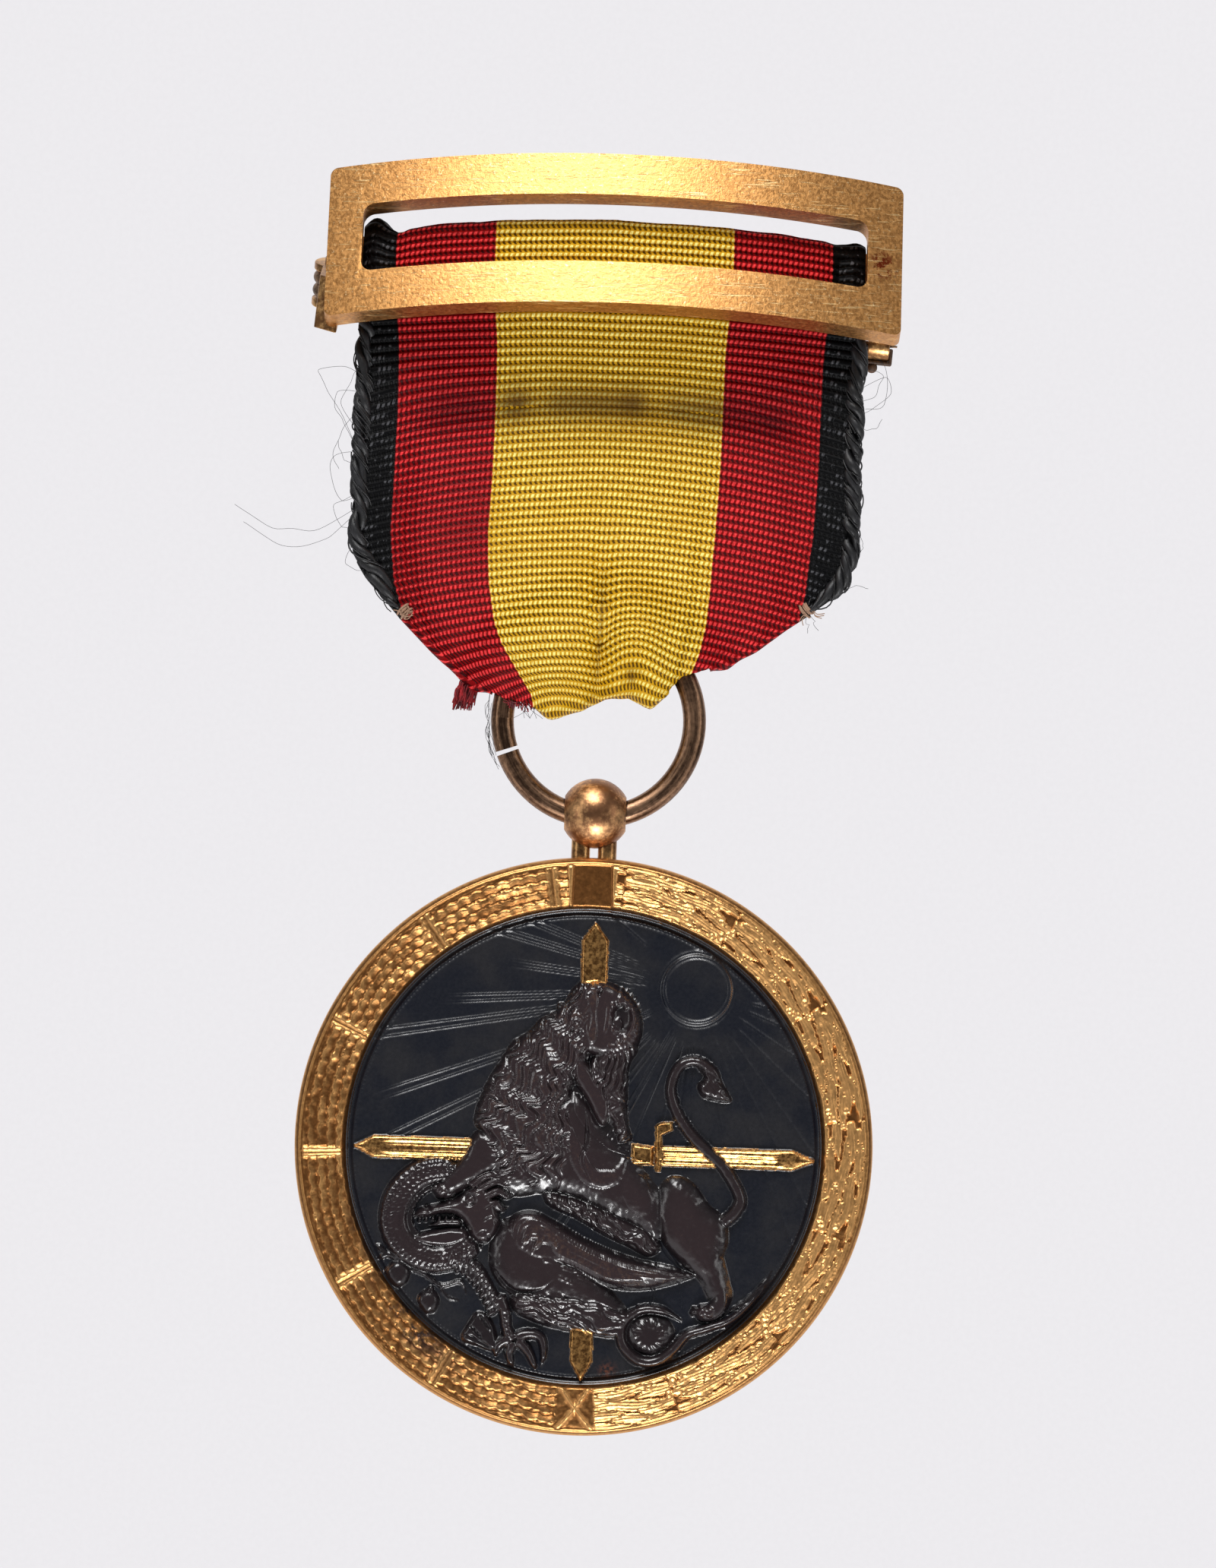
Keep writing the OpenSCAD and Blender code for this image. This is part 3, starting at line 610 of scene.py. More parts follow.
def strike_dragon(R):
    """The dragon under the lion: coiled neck, crest, head, wing, body, leg, and ground with a looped tail."""
    # scaled neck, coiled
    coil = [(-7.3, -1.9), (-8.8, -1.75), (-10.4, -2.15), (-11.6, -3.4), (-12.0, -4.9), (-11.6, -6.2),
            (-10.6, -7.1), (-9.2, -7.5), (-7.8, -7.1), (-6.7, -6.1)]
    R.ridge(coil, (0.6, 0.85, 0.95, 1.0, 1.0, 1.0, 0.95, 0.9, 0.85), 0.78, taper=(0.15, 0.05))
    c = curve(coil, 14)
    for i in range(3, len(c) - 2, 3):
        d = c[i + 1] - c[i - 1]
        d /= np.linalg.norm(d)
        q = np.array([-d[1], d[0]])
        for j, off in enumerate((-0.62, -0.22, 0.20, 0.60)):
            o = c[i] + q * off + d * (0.13 if j % 2 else 0.0)
            R.ridge([o - q * 0.15 - d * 0.10, o + d * 0.12, o + q * 0.15 - d * 0.10], 0.10, 0.13, "add",
                    (0.1, 0.1), per=2)
        R.ridge([c[i] + q * 0.95, c[i] + q * 1.22 + d * 0.1], 0.13, 0.30, "max", (0, 0.2), base=0.1)
    # crested neck below the head
    crest = [(-8.9, -7.3), (-7.7, -7.6), (-6.7, -8.1), (-6.0, -9.0), (-5.4, -10.0), (-5.0, -10.8)]
    R.ridge(crest, (0.5, 0.6, 0.6, 0.5, 0.45, 0.3), 0.55, taper=(0.1, 0.1))
    c = curve(crest, 5)
    for i in range(1, len(c) - 1, 2):
        d = c[i + 1] - c[i - 1]
        d /= np.linalg.norm(d)
        q = np.array([d[1], -d[0]])
        R.ridge([c[i] + q * 0.3, c[i] + q * 0.75 + d * 0.15], (0.26, 0.12), 0.42, "max", (0, 0.2), base=0.1)
        R.ridge([c[i] - q * 0.2, c[i] + q * 0.1], 0.16, 0.18, "add", (0, 0.1))
    # head with an open beak, horns and ruffled cheek
    R.dome([(-6.3, -2.6), (-7.2, -2.9), (-8.0, -3.5), (-9.2, -3.9), (-10.3, -4.2), (-10.75, -4.8),
            (-10.0, -4.9), (-8.9, -4.6), (-8.0, -4.7), (-7.4, -5.3), (-6.9, -6.2), (-6.0, -6.4), (-5.2, -5.4),
            (-5.4, -3.9)], 1.0, 0.55)
    R.dome([(-7.3, -5.5), (-8.2, -5.4), (-9.4, -5.6), (-10.5, -5.9), (-10.9, -6.3), (-10.0, -6.7),
            (-8.8, -6.8), (-7.8, -6.6), (-7.1, -6.2)], 0.85, 0.42)
    R.ridge([(-7.6, -5.1), (-8.8, -5.15), (-9.9, -5.45)], (0.26, 0.22, 0.1), 0.62, taper=(0.1, 0.4))
    for i in range(6):
        x = -8.2 - 0.42 * i
        R.ridge([(x, -4.75 - 0.03 * i), (x - 0.05, -5.05 - 0.03 * i)], 0.09, 0.5, "max", (0, 0.2), base=0.15)
    R.ridge([(-9.9, -4.15), (-9.7, -4.35)], 0.16, 0.3, "cut", (0, 0))
    R.ridge([(-7.2, -3.65), (-7.1, -3.6)], 0.42, 0.30, "cut", (0, 0))
    R.ridge([(-7.18, -3.66), (-7.1, -3.62)], 0.24, 0.34, "add", (0, 0))
    R.ridge([(-7.7, -3.15), (-7.1, -2.95), (-6.5, -3.2)], 0.2, 0.26, "add", (0.2, 0.2))
    for a, b in (((-7.2, -2.8), (-4.3, -1.7)), ((-6.7, -3.0), (-3.9, -2.3)), ((-6.3, -3.5), (-4.1, -3.1)),
                 ((-6.2, -4.2), (-4.6, -4.0)), ((-6.3, -5.0), (-4.9, -4.9)), ((-6.6, -5.8), (-5.5, -6.0))):
        m = ((a[0] * 0.6 + b[0] * 0.4), (a[1] * 0.6 + b[1] * 0.4) + 0.32)
        k = ((a[0] * 0.3 + b[0] * 0.7), (a[1] * 0.3 + b[1] * 0.7) - 0.10)
        R.ridge([a, m, k, b], (0.34, 0.32, 0.24, 0.1), (1.05, 1.0, 0.75, 0.4), taper=(0.05, 0.3))
        R.ridge([a, m, k, b], 0.09, 0.14, "cut", (0.1, 0.2))
    # breast, folded wing and body
    R.dome([(-5.6, -5.6), (-5.9, -7.0), (-5.5, -8.5), (-4.4, -9.6), (-2.9, -10.0), (-0.5, -10.4),
            (2.5, -11.0), (3.2, -10.4), (2.0, -9.0), (0.0, -7.4), (-2.0, -5.6), (-3.4, -4.5), (-4.8, -4.7)],
           0.86, 1.5)
    R.dome([(-4.9, -5.3), (-4.2, -4.4), (-3.0, -4.2), (-1.8, -4.8), (-0.3, -5.7), (1.4, -6.5), (3.6, -7.2),
            (5.6, -7.6), (7.5, -7.9), (6.4, -8.5), (4.6, -9.0), (2.6, -9.1), (0.6, -8.6), (-1.4, -7.8),
            (-3.0, -7.6), (-4.4, -6.8)], 1.02, 0.8)
    for i, (dv, w) in enumerate(((0.0, 0.26), (0.42, 0.24), (0.82, 0.24), (1.22, 0.22), (1.60, 0.20))):
        s = 1 - 0.10 * i
        R.ridge([(-4.3 + 0.3 * i, -5.9 - 0.25 * i), (-4.0 + 0.34 * i, -4.75 - 0.34 * i),
                 (-2.9 + 0.30 * i, -4.55 - dv), (-1.4, -5.2 - dv * 0.95), (0.6, -6.25 - dv * 0.85),
                 (3.0 * s + 0.3, -7.2 - dv * 0.7), (5.0 * s + 0.8, -7.65 - dv * 0.45),
                 (7.3 * s, -8.0 - dv * 0.35)], w, 0.24, "add", (0.12, 0.12), per=4)
    R.ridge([(-3.6, -6.3), (-3.2, -5.75), (-2.6, -6.0), (-2.9, -6.6)], 0.2, 0.26, "add", (0.1, 0.1))
    R.ridge([(-2.2, -7.2), (-0.6, -7.6), (1.6, -8.6), (3.6, -9.0)], 0.12, 0.20, "cut", (0.2, 0.3))
    for a, b in (((-2.4, -7.3), (-1.2, -7.35)), ((-1.2, -7.7), (0.2, -8.1)), ((-0.2, -8.2), (1.2, -8.8)),
                 ((-1.4, -8.3), (-0.2, -8.8))):
        R.ridge([a, b], 0.13, 0.16, "add", (0.1, 0.3))
    R.ridge([(-5.5, -8.0), (-4.2, -9.3), (-2.6, -9.3), (-1.6, -8.6)], 0.14, 0.20, "cut", (0.3, 0.3))
    low = [(-4.3, -9.6), (-2.2, -9.3), (0.4, -9.6), (2.6, -10.1), (3.6, -10.6), (3.2, -11.6), (2.4, -12.2),
           (0.6, -12.0), (-1.4, -11.7), (-3.2, -11.2), (-4.2, -10.6)]
    R.dome(low, 0.76, 0.7)
    R.comb(low, (-16.0, -5.5), 0.46, 0.24, 9, 0.05, 1.2)
    R.ridge([(-4.2, -9.9), (-2.2, -10.2), (0.0, -10.0), (1.6, -10.2)], (0.3, 0.36, 0.3, 0.2), 0.22, "add",
            (0.2, 0.4))
    # leg and talons
    R.ridge([(-5.2, -9.6), (-4.7, -10.7), (-4.5, -11.8), (-4.0, -12.7)], (0.5, 0.42, 0.36, 0.42), 0.72,
            taper=(0.1, 0.1))
    for y in (-10.6, -11.1, -11.6, -12.1):
        R.ridge([(-4.95, y), (-4.2, y - 0.12)], 0.11, 0.14, "add", (0.1, 0.1))
    for path in ([(-4.1, -12.6), (-4.3, -13.4), (-4.0, -14.3)], [(-3.9, -12.5), (-3.1, -13.2), (-2.5, -14.5)],
                 [(-4.0, -12.4), (-3.2, -12.1), (-2.3, -12.3), (-2.1, -13.4), (-2.3, -14.2)],
                 [(-4.3, -12.4), (-5.0, -12.9), (-5.2, -13.7)]):
        R.ridge(path, (0.40, 0.34, 0.26, 0.12), (0.75, 0.7, 0.55, 0.35), taper=(0.05, 0.2))
    # rock under the claws, pods at the left, looped tail and the ground line
    R.dome([(-7.5, -12.6), (-7.0, -11.4), (-6.4, -10.7), (-5.5, -11.2), (-5.0, -12.6), (-5.2, -13.3),
            (-6.3, -13.1)], 0.42, 0.35, 1.2)
    for a, b in (((-6.9, -11.6), (-6.0, -12.6)), ((-6.3, -11.0), (-5.5, -12.0)),
                 ((-7.2, -12.2), (-5.4, -13.1))):
        R.ridge([a, b], 0.10, 0.22, "cut", (0.2, 0.2))
    R.ridge([(-13.1, -6.6), (-12.4, -7.2), (-11.6, -7.5)], 0.16, 0.3, taper=(0.2, 0.1))
    R.ridge([(-12.9, -7.6), (-12.2, -7.3), (-11.4, -7.8)], 0.20, 0.28, taper=(0.2, 0.1))
    for (x, y, r) in ((-11.6, -8.5, 0.85), (-9.6, -10.2, 0.78)):
        R.dome([(x - r, y), (x - r * 0.6, y + r * 0.8), (x + r * 0.3, y + r), (x + r, y + 0.2),
                (x + r * 0.7, y - r * 0.8), (x - r * 0.2, y - r * 1.1)], 0.55, 0.6)
        R.ridge([(x + 0.2, y + r * 1.2), (x, y + r * 0.6)], 0.2, 0.4, taper=(0.1, 0.1))
    R.ridge([(-10.9, -8.2), (-9.9, -8.5), (-8.8, -9.2), (-7.6, -8.9), (-7.2, -9.6)], 0.13, 0.24,
            taper=(0.1, 0.2))
    R.ridge([(-8.9, -9.2), (-8.4, -9.9), (-7.6, -10.1)], 0.10, 0.18, taper=(0.1, 0.3))
    loop = [(6.6, -10.9), (5.4, -10.3), (4.0, -10.3), (2.9, -11.2), (2.9, -12.5), (3.9, -13.5), (5.2, -13.5),
            (6.2, -12.7), (7.0, -11.8), (8.4, -11.3), (9.8, -10.7), (11.2, -9.4), (12.2, -8.1)]
    R.dome([(3.2, -11.2), (4.2, -10.5), (5.6, -10.7), (6.3, -11.6), (5.9, -12.7), (4.8, -13.3), (3.6, -12.9),
            (3.0, -12.1)], 0.62, 1.0)
    R.ridge(loop, (0.30, 0.30, 0.34, 0.36, 0.36, 0.34, 0.30, 0.26, 0.22, 0.18), 0.72, taper=(0.1, 0.2))
    for a in np.arange(0, 6.2, 0.5):
        R.ridge([(4.6 + 0.5 * math.cos(a), -11.9 + 0.5 * math.sin(a)), (4.6 + 1.1 * math.cos(a + 0.3),
                 -11.9 + 1.1 * math.sin(a + 0.3))], 0.13, 0.12, "add", (0.2, 0.2), figure=0)
    R.ridge([(9.4, -10.4), (10.6, -9.6), (11.6, -8.6), (12.4, -7.5)], 0.14, 0.32, taper=(0.2, 0.3))


def strike_blade(R, along, across, ends, widths, height, points=(0, 0)):
    """A gilt blade along one axis: bevels meet in a ridge, and an end with a length in points is sharp."""
    t = (along - ends[0]) / (ends[1] - ends[0])
    half = (widths[0] + (widths[1] - widths[0]) * t) / 2
    if points[0]:
        half = np.minimum(half, (along - ends[0]) * half / points[0])
    if points[1]:
        half = np.minimum(half, (ends[1] - along) * half / points[1])
    d = np.abs(across) / np.maximum(half, 1e-6)
    k = np.nonzero((t >= 0) & (t <= 1) & (np.abs(across) < half))[0]
    R.raise_to(k, (height + 0.14 * (1 - d) - 0.35 * smooth(d, 0.86, 1.0))[k], 0.0, 1.0)


RAYS = (158, 166, 174, 182, 190, 199, 207, 216, 225, 233, 241, 249, 256, 263, 270, 277, 284, 291, 299, 308,
        317, 327, 338, 349, 2, 16, 32, 52, 75, 98, 120, 141)


def strike_field(R):
    """The field: sun and rays, beaded border, the upright blade and the level sword."""
    u, v = R.u, R.v
    sun_u, sun_v = 6.9, 10.3
    r = np.random.default_rng(5)
    for ray in RAYS:
        a = math.radians(ray + r.uniform(-2, 2))
        start, stop = r.uniform(2.9, 4.0), r.uniform(9, 30)
        along = (u - sun_u) * math.cos(a) + (v - sun_v) * math.sin(a)
        across = (v - sun_v) * math.cos(a) - (u - sun_u) * math.sin(a)
        live = smooth(along, start, start + 0.6) * (1 - smooth(along, stop, stop + 3))
        if 150 < math.degrees(a) < 246:
            gap = 0.10 + 0.008 * np.clip(along, 0, 20)
            R.h += 0.115 * live * (bell(across, gap, 0.055) + bell(across, -gap, 0.055))
        else:
            R.h -= 0.100 * live * bell(across, 0, 0.070)
    from_sun = np.hypot(u - sun_u, v - sun_v)
    R.h += 0.16 * bell(from_sun, 2.1, 0.14) - 0.10 * bell(from_sun, 2.38, 0.12)
    R.h += 0.05 * (1 - smooth(from_sun, 1.6, 2.1))
    radius = np.hypot(u, v)
    R.h += 0.13 * bell(radius, 14.72, 0.10) * (0.72 + 0.28 * np.cos(np.arctan2(v, u) * 330))
    R.h -= 0.20 * bell(radius, 15.02, 0.12)
    upright, level = 0.3, -0.42
    strike_blade(R, v, u - upright, (-15.0, -11.3), (1.42, 1.50), 0.34, (1.25, 0))
    strike_blade(R, v, u - upright, (9.4, 14.4), (1.70, 1.80), 0.34, (0, 1.2))
    strike_blade(R, u, v - level, (-14.75, -5.0), (1.45, 1.5), 0.30, (1.3, 0))
    strike_blade(R, u, v - level, (4.95, 14.9), (1.35, 1.3), 0.30, (0, 1.5))
    for off in (-0.34, 0.34):
        R.ridge([(5.2, level + off), (12.9, level + off)], 0.16, 0.12, "add", (0, 0.1), figure=0)
        R.ridge([(-13.0, level + off * 0.8), (-5.2, level + off * 0.8)], 0.14, 0.10, "add", (0.1, 0),
                figure=0)
    R.ridge([(5.2, level), (12.9, level)], 0.10, 0.14, "cut", (0, 0.1))
    R.plate([(4.55, 1.55), (4.62, -1.45), (4.98, -1.45), (5.0, 0.9), (5.7, 1.25), (5.6, 1.8), (4.9, 1.75)],
            0.48, 0.12)
    R.plate([(3.1, 0.35), (3.0, -1.1), (4.5, -1.05), (4.5, 0.2)], 0.40, 0.25)


def medal_face(material):
    """The dark struck face: a disc of heights on a flat-backed plate."""
    turns, rings = 960, 158
    radius = np.linspace(0.02, FIELD_R + 0.12, rings)
    a = np.arange(turns) * 2 * np.pi / turns
    u, v = radius[:, None] * np.cos(a), radius[:, None] * np.sin(a)
    R = Relief(u, v)
    strike_field(R)
    strike_dragon(R)
    strike_lion(R)
    R.h += 0.010 * noise2(R.u, R.v, 21, 0.5) + R.figure * (0.035 * noise2(R.u, R.v, 22, 0.42)
                                                        + 0.022 * noise2(R.u, R.v, 23, 0.2))
    edge = smooth(np.hypot(R.u, R.v), 15.05, 15.25)
    highest = 1.3
    R.h = highest * np.tanh(0.84 * R.h / highest) * (1 - edge) + 0.10 * edge
    R.h = np.maximum(R.h, -0.12)
    field_y, plate_y = CHAIN_Y - 0.82, CHAIN_Y - 0.5
    top = np.stack([R.u, field_y - R.h, DISC_Z + R.v], -1)
    skirt = np.stack([u[-1], np.full(turns, plate_y), DISC_Z + v[-1]], -1)
    centres = [[0, field_y - R.h[:turns].mean(), DISC_Z], [0, plate_y, DISC_Z]]
    first, centre = np.arange(turns), (rings + 1) * turns
    tris = np.concatenate([fan(first, centre, flip=True), fan(first + rings * turns, centre + 1)])
    ob = make_object("medal_face", np.concatenate([top, skirt, centres]), grid_faces(rings + 1, turns, True),
                     tris, material)
    rust = bell(np.hypot(R.u - 2.0, R.v + 14.3), 0, 0.42)
    for name, values in (("figure", R.figure), ("gold", R.gold), ("rise", R.h), ("rust", rust)):
        attribute(ob, name, np.concatenate([values, np.zeros(turns + 2)]))
    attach(ob, "medal")


# The disc's turned section behind the wreath, as radius and distance to the front: outer edge, then back
TURNED = [(18.40, 1.22), (18.47, 1.10), (18.50, 0.95), (18.50, 0.4), (18.50, -0.4), (18.50, -0.98),
          (18.42, -1.20), (18.25, -1.30), (17.7, -1.33), (17.2, -1.27), (16.9, -1.30), (16.0, -1.30),
          (15.5, -1.26), (15.2, -0.84), (15.0, -0.80), (14.6, -0.83), (14.3, -0.80), (11.0, -0.80),
          (7.0, -0.80), (3.0, -0.80), (0.2, -0.80)]


def medal_rim(material):
    """Rim, edge and back: one closed turned body whose front ring carries the wreath."""
    turns = 1440
    a = np.arange(turns) * 2 * np.pi / turns
    radii = np.linspace(15.12, 18.28, 40)
    A, RR = np.meshgrid(a, radii)
    W = wreath(A, RR)
    seat = 0.5 * smooth(RR, 15.10, 15.55) + 0.06 * np.sin(np.clip((RR - 15.2) / 3.1, 0, 1) * np.pi)
    rows, rise = [], []

    def add_row(radius, y, up):
        rows.append(np.stack([radius * np.cos(a), np.broadcast_to(y, turns), DISC_Z + radius * np.sin(a)],
                             -1))
        rise.append(np.broadcast_to(up, turns))

    inner_y, back_y = CHAIN_Y - 0.45, CHAIN_Y + 0.80
    add_row(15.02, inner_y, 0.0)
    for radius, y, up in zip(radii, CHAIN_Y - 0.80 - seat - W, np.clip(W / 0.34, 0, 1)):
        add_row(radius, y, up)
    for radius, depth in TURNED:
        wobble = 0.012 * noise1(a * 30, 5 + int(radius * 10)) if radius < 18.45 else 0.0
        add_row(radius, CHAIN_Y - depth + wobble, 0.55 if radius > 15.3 else 0.25)
    verts = np.concatenate(rows)
    first, centre = np.arange(turns), len(verts)
    tris = np.concatenate([fan(first + centre - turns, centre), fan(first, centre + 1, flip=True)])
    verts = np.concatenate([verts, [[0, back_y, DISC_Z], [0, inner_y, DISC_Z]]])
    ob = make_object("medal_rim_and_back", verts, grid_faces(len(rows), turns, True), tris, material)
    attribute(ob, "rise", np.concatenate([*rise, [0.25, 0.25]]))
    x, y, z = verts[:-2].T
    deg, radius = np.degrees(np.arctan2(z - DISC_Z, x)) % 360, np.hypot(x, z - DISC_Z)
    dirt = bell(deg, 228, 11) * (1 - smooth(radius, 15.9, 17.6))
    dirt += 0.6 * bell(deg, 204, 8) * (1 - smooth(radius, 15.3, 16.2))
    attribute(ob, "dirt", np.concatenate([np.where(y > CHAIN_Y, 0.10, dirt), [0.3, 0.3]]))
    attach(ob, "medal")
    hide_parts("medal_disc")


RING_MID, MM_PER_DEGREE = 16.7, 0.2915
WREATH_IN, WREATH_W = 15.35, 2.75
LEAF_ARC, LEAF_RUN = 25.2, 7.35
# The leaves of one bundle: start and end as shares along and across the ring, then width and bend
LEAVES = [(0.62, 0.04, 1.06, 0.14, 0.36, 0.08), (0.60, 0.96, 1.05, 0.84, 0.36, -0.08),
          (0.66, 0.60, 1.10, 0.46, 0.36, 0.06), (0.40, 0.30, 0.98, 0.36, 0.38, 0.10),
          (0.36, 0.72, 0.92, 0.66, 0.38, -0.10), (0.30, 1.00, 0.80, 0.94, 0.30, 0.05),
          (0.28, 0.02, 0.76, 0.08, 0.34, 0.06), (0.10, 0.16, 0.68, 0.18, 0.38, -0.10),
          (0.08, 0.50, 0.66, 0.52, 0.40, 0.12), (0.08, 0.84, 0.56, 0.84, 0.36, 0.09),
          (-0.08, 0.30, 0.36, 0.34, 0.36, 0.07), (-0.10, 0.68, 0.34, 0.66, 0.36, -0.07),
          (-0.06, 0.02, 0.36, 0.04, 0.30, 0.05), (-0.05, 0.98, 0.32, 0.98, 0.30, 0.05)]
# Berries between two bundles: degrees along the ring, radius on the disc and size
BERRIES = [(0.0, 16.1, 0.36), (1.5, 16.9, 0.30), (-1.7, 16.7, 0.26), (1.9, 15.8, 0.28)]


def wreath_scales(s, deg, b, RR):
    """Rows of overlapping scales in bundles that thin ties part."""
    bundle = (deg - 97) / 28.1
    f = bundle - np.floor(bundle)
    rows = 4.6
    drift = 0.25 * noise2(s, RR * 0.3, 31, 2.2)
    shift = 0.5 * (np.floor(b * rows) % 2) + 0.35 * noise1(np.floor(bundle) * 7.0, 32) + drift * 0.4
    level = b * rows + 0.24 * (0.5 - np.abs(np.sin(np.pi * (s / 0.86 + shift)))) + drift * 0.9
    row = np.floor(level)
    g = level - row
    H = 0.26 * np.clip(g, 0, 1) ** 0.75 * (1 - smooth(g, 0.80, 0.99))
    H = H * (0.8 + 0.3 * noise2(s, row * 5.0, 33, 1.1)) + 0.030 * noise2(s, RR, 35, 0.4)
    inside = smooth(b, 0.0, 0.06) * (1 - smooth(b, 0.94, 1.0))
    tie = np.clip(0.75 * bell(f, 0.03, 0.016) + 0.5 * bell(f, 0.09, 0.014), 0, 1)
    plain = smooth(f, 0.03, 0.045) * (1 - smooth(f, 0.08, 0.095))
    return (H * (1 - plain) * (1 - tie) + 0.24 * tie + 0.10 * plain) * inside


def lay_leaf(X, Y, over, leaf, wobble):
    """One leaf with a rib and raised outlines over the heights that are there."""
    t0, b0, t1, b1, width, bend = leaf
    x0, y0 = (t0 + wobble) * LEAF_RUN, (b0 + wobble) * WREATH_W
    dx, dy = (t1 + wobble) * LEAF_RUN - x0, (b1 - wobble) * WREATH_W - y0
    span = math.hypot(dx, dy)
    run = ((X - x0) * dx + (Y - y0) * dy) / span ** 2
    part = np.clip(run, 0, 1)
    off = ((Y - y0) * dx - (X - x0) * dy) / span - bend * np.sin(2 * np.pi * part)
    e = np.abs(off) / np.maximum(width * np.sin(np.pi * part ** 0.85) ** 0.7, 1e-4)
    h = 0.07 + 0.07 * part + 0.14 * np.sqrt(np.clip(1 - e * e, 0, 1))
    h = (h + 0.05 * bell(e, 0.80, 0.13) + 0.06 * bell(off, 0, 0.08)) * (1 - 0.6 * smooth(e, 0.88, 1.0))
    return np.where((run > 0) & (run < 1) & (e < 1), h, over)


def wreath_leaves(s, deg, b, RR, here):
    """Bundles of long leaves that run round the ring, with berries between the bundles."""
    first = 83
    signed = np.where(deg > 180, deg - 360, deg)
    run = (first - signed) / LEAF_ARC
    bundle = np.floor(run)
    H = 0.05 + 0.04 * noise2(s, RR * 0.6, 39, 0.8)
    for k in np.unique(bundle[here]).astype(int):
        m = here & (bundle == k)
        X, Y, over = (run - bundle)[m] * LEAF_RUN, b[m] * WREATH_W, H[m]
        for i, leaf in enumerate(LEAVES):
            over = lay_leaf(X, Y, over, leaf, 0.035 * math.sin(12.9 * k + 4.7 * i))
        H[m] = over
    for k in range(8):
        for turn, radius, size in BERRIES:
            x = RING_MID * np.radians(first - 24.2 - k * LEAF_ARC + turn - signed)
            ball = np.clip(1 - (x ** 2 + (RR - radius) ** 2) / size ** 2, 0, 1) ** 0.5
            H = np.maximum(H, 0.36 * ball)
    return H + 0.024 * noise2(s, RR, 41, 0.35)


def wreath(A, RR):
    """Heights of the rim's front: scales at the left, leaves at the right, a plaque above, a tie below."""
    s = A * RING_MID
    b = (RR - WREATH_IN) / WREATH_W
    deg = np.degrees(A) % 360
    left = (deg > 95) & (deg < 266)
    right = ~left & ((deg < 85) | (deg > 274))
    H = np.where(left, wreath_scales(s, deg, b, RR), 0.0)
    H = np.where(right, wreath_leaves(s, deg, b, RR, right), H)
    top = np.abs(deg - 90)
    edge = 3.6 + 0.9 * (1 - b)
    H = np.where((top < 5.2) & (top > edge), 0.24 * smooth(top, edge, edge + 0.6), H)
    H = np.where(top <= edge, 0.02 + 0.01 * noise2(s, RR, 43, 0.2), H)
    tie_u, tie_v = (deg - 270) * MM_PER_DEGREE, RR - RING_MID
    cross = np.maximum(bell(tie_u - 0.75 * tie_v, 0, 0.20), bell(tie_u + 0.75 * tie_v, 0, 0.20))
    H = np.where(np.abs(deg - 270) < 4.2, 0.08 + 0.20 * cross + 0.03 * noise2(s, RR, 45, 0.25), H)
    # plain outer border and a fine inner lip
    H = H * (1 - smooth(RR, 17.95, 18.12)) * smooth(RR, 15.35, 15.55)
    return H + 0.20 * bell(RR, 18.17, 0.09) + 0.12 * bell(RR, 15.42, 0.10) * (0.8 + 0.2 * noise1(A * 60, 47))


# ---------------------------------------------------------------- ribbon
HEM_ROWS, LEG_ROWS, RISE_ROWS, ARC_ROWS, WINDOW_ROWS = 26, 12, 9, 24, 32
FACE_ROWS, TURN_ROWS, BACK_ROWS = 272, 12, 56
THREADS = 196
ACROSS = np.linspace(-RIBBON_HW, RIBBON_HW, THREADS)
BAR_TURN = ACROSS * (math.asin(RIBBON_HW / BAR_R) / RIBBON_HW)
# The face's lower end, from corner to corner: x, and height above the ring's centre
LOWER_END = [(-16.8, 12.6), (-16.2, 10.7), (-15.2, 9.1), (-12.8, 6.35), (-10.4, 4.05), (-8.2, 2.35),
             (-6.1, 1.15), (-4.3, 0.84), (-3.0, 0.66), (-1.1, 1.25), (0.35, 2.05), (1.85, 2.15), (3.3, 1.55),
             (4.2, 1.8), (5.1, 2.86), (7.05, 3.6), (10.0, 5.3), (13.1, 7.5), (15.0, 9.0), (15.9, 10.2),
             (16.6, 12.0)]


def in_frame_axes(radius, turn, zl):
    """A point at a radius and turn about the buckle's centre of curvature, at a height along its plate."""
    x = radius * np.sin(turn)
    yl = FRAME_R - radius * np.cos(turn)
    y = FRAME_Y + yl * math.cos(LEAN) + zl * math.sin(LEAN)
    z = FRAME_Z - yl * math.sin(LEAN) + zl * math.cos(LEAN)
    return np.stack(np.broadcast_arrays(x, y, z), -1)


def warp_x(c, z):
    """Where the warp thread c runs at height z: threads draw together towards the fold."""
    zr = z - RING_Z
    k = np.interp(zr, (0.0, 1.5, 3.0, 4.6, 6.2, 8.5, 12.0, 30.0), (0.60, 0.645, 0.76, 0.86, 0.925, 0.97,
                                                                   0.995, 1.0))
    return c * k + 0.38 * smooth(zr, 6, 1) - 0.25 * bell(zr, 10, 5)


def layer_gap(x, z):
    """Half the distance between the ribbon's two layers: they part round the ring."""
    over = 1 - smooth(np.hypot(x, z - RING_Z), 6.9, 10.2)
    return 0.30 + over * (1.0 + 0.30 * smooth(z, -23.0, -20.5))


def ring_room(x, z):
    """How far a layer must stay from the chain's plane for the ring's wire to swing inside the fold."""
    off = np.abs(np.hypot(x, z - RING_Z) - RING_R)
    return (0.97 + 0.18 * np.abs(z - FOLD_Z)) * (1 - smooth(off, 0.8, 1.7))


def spot(x, z, at, size):
    """1 at one place on the cloth, falling to 0 around it."""
    return np.exp(-((x - at[0]) / size[0]) ** 2 - ((z - at[1]) / size[1]) ** 2)


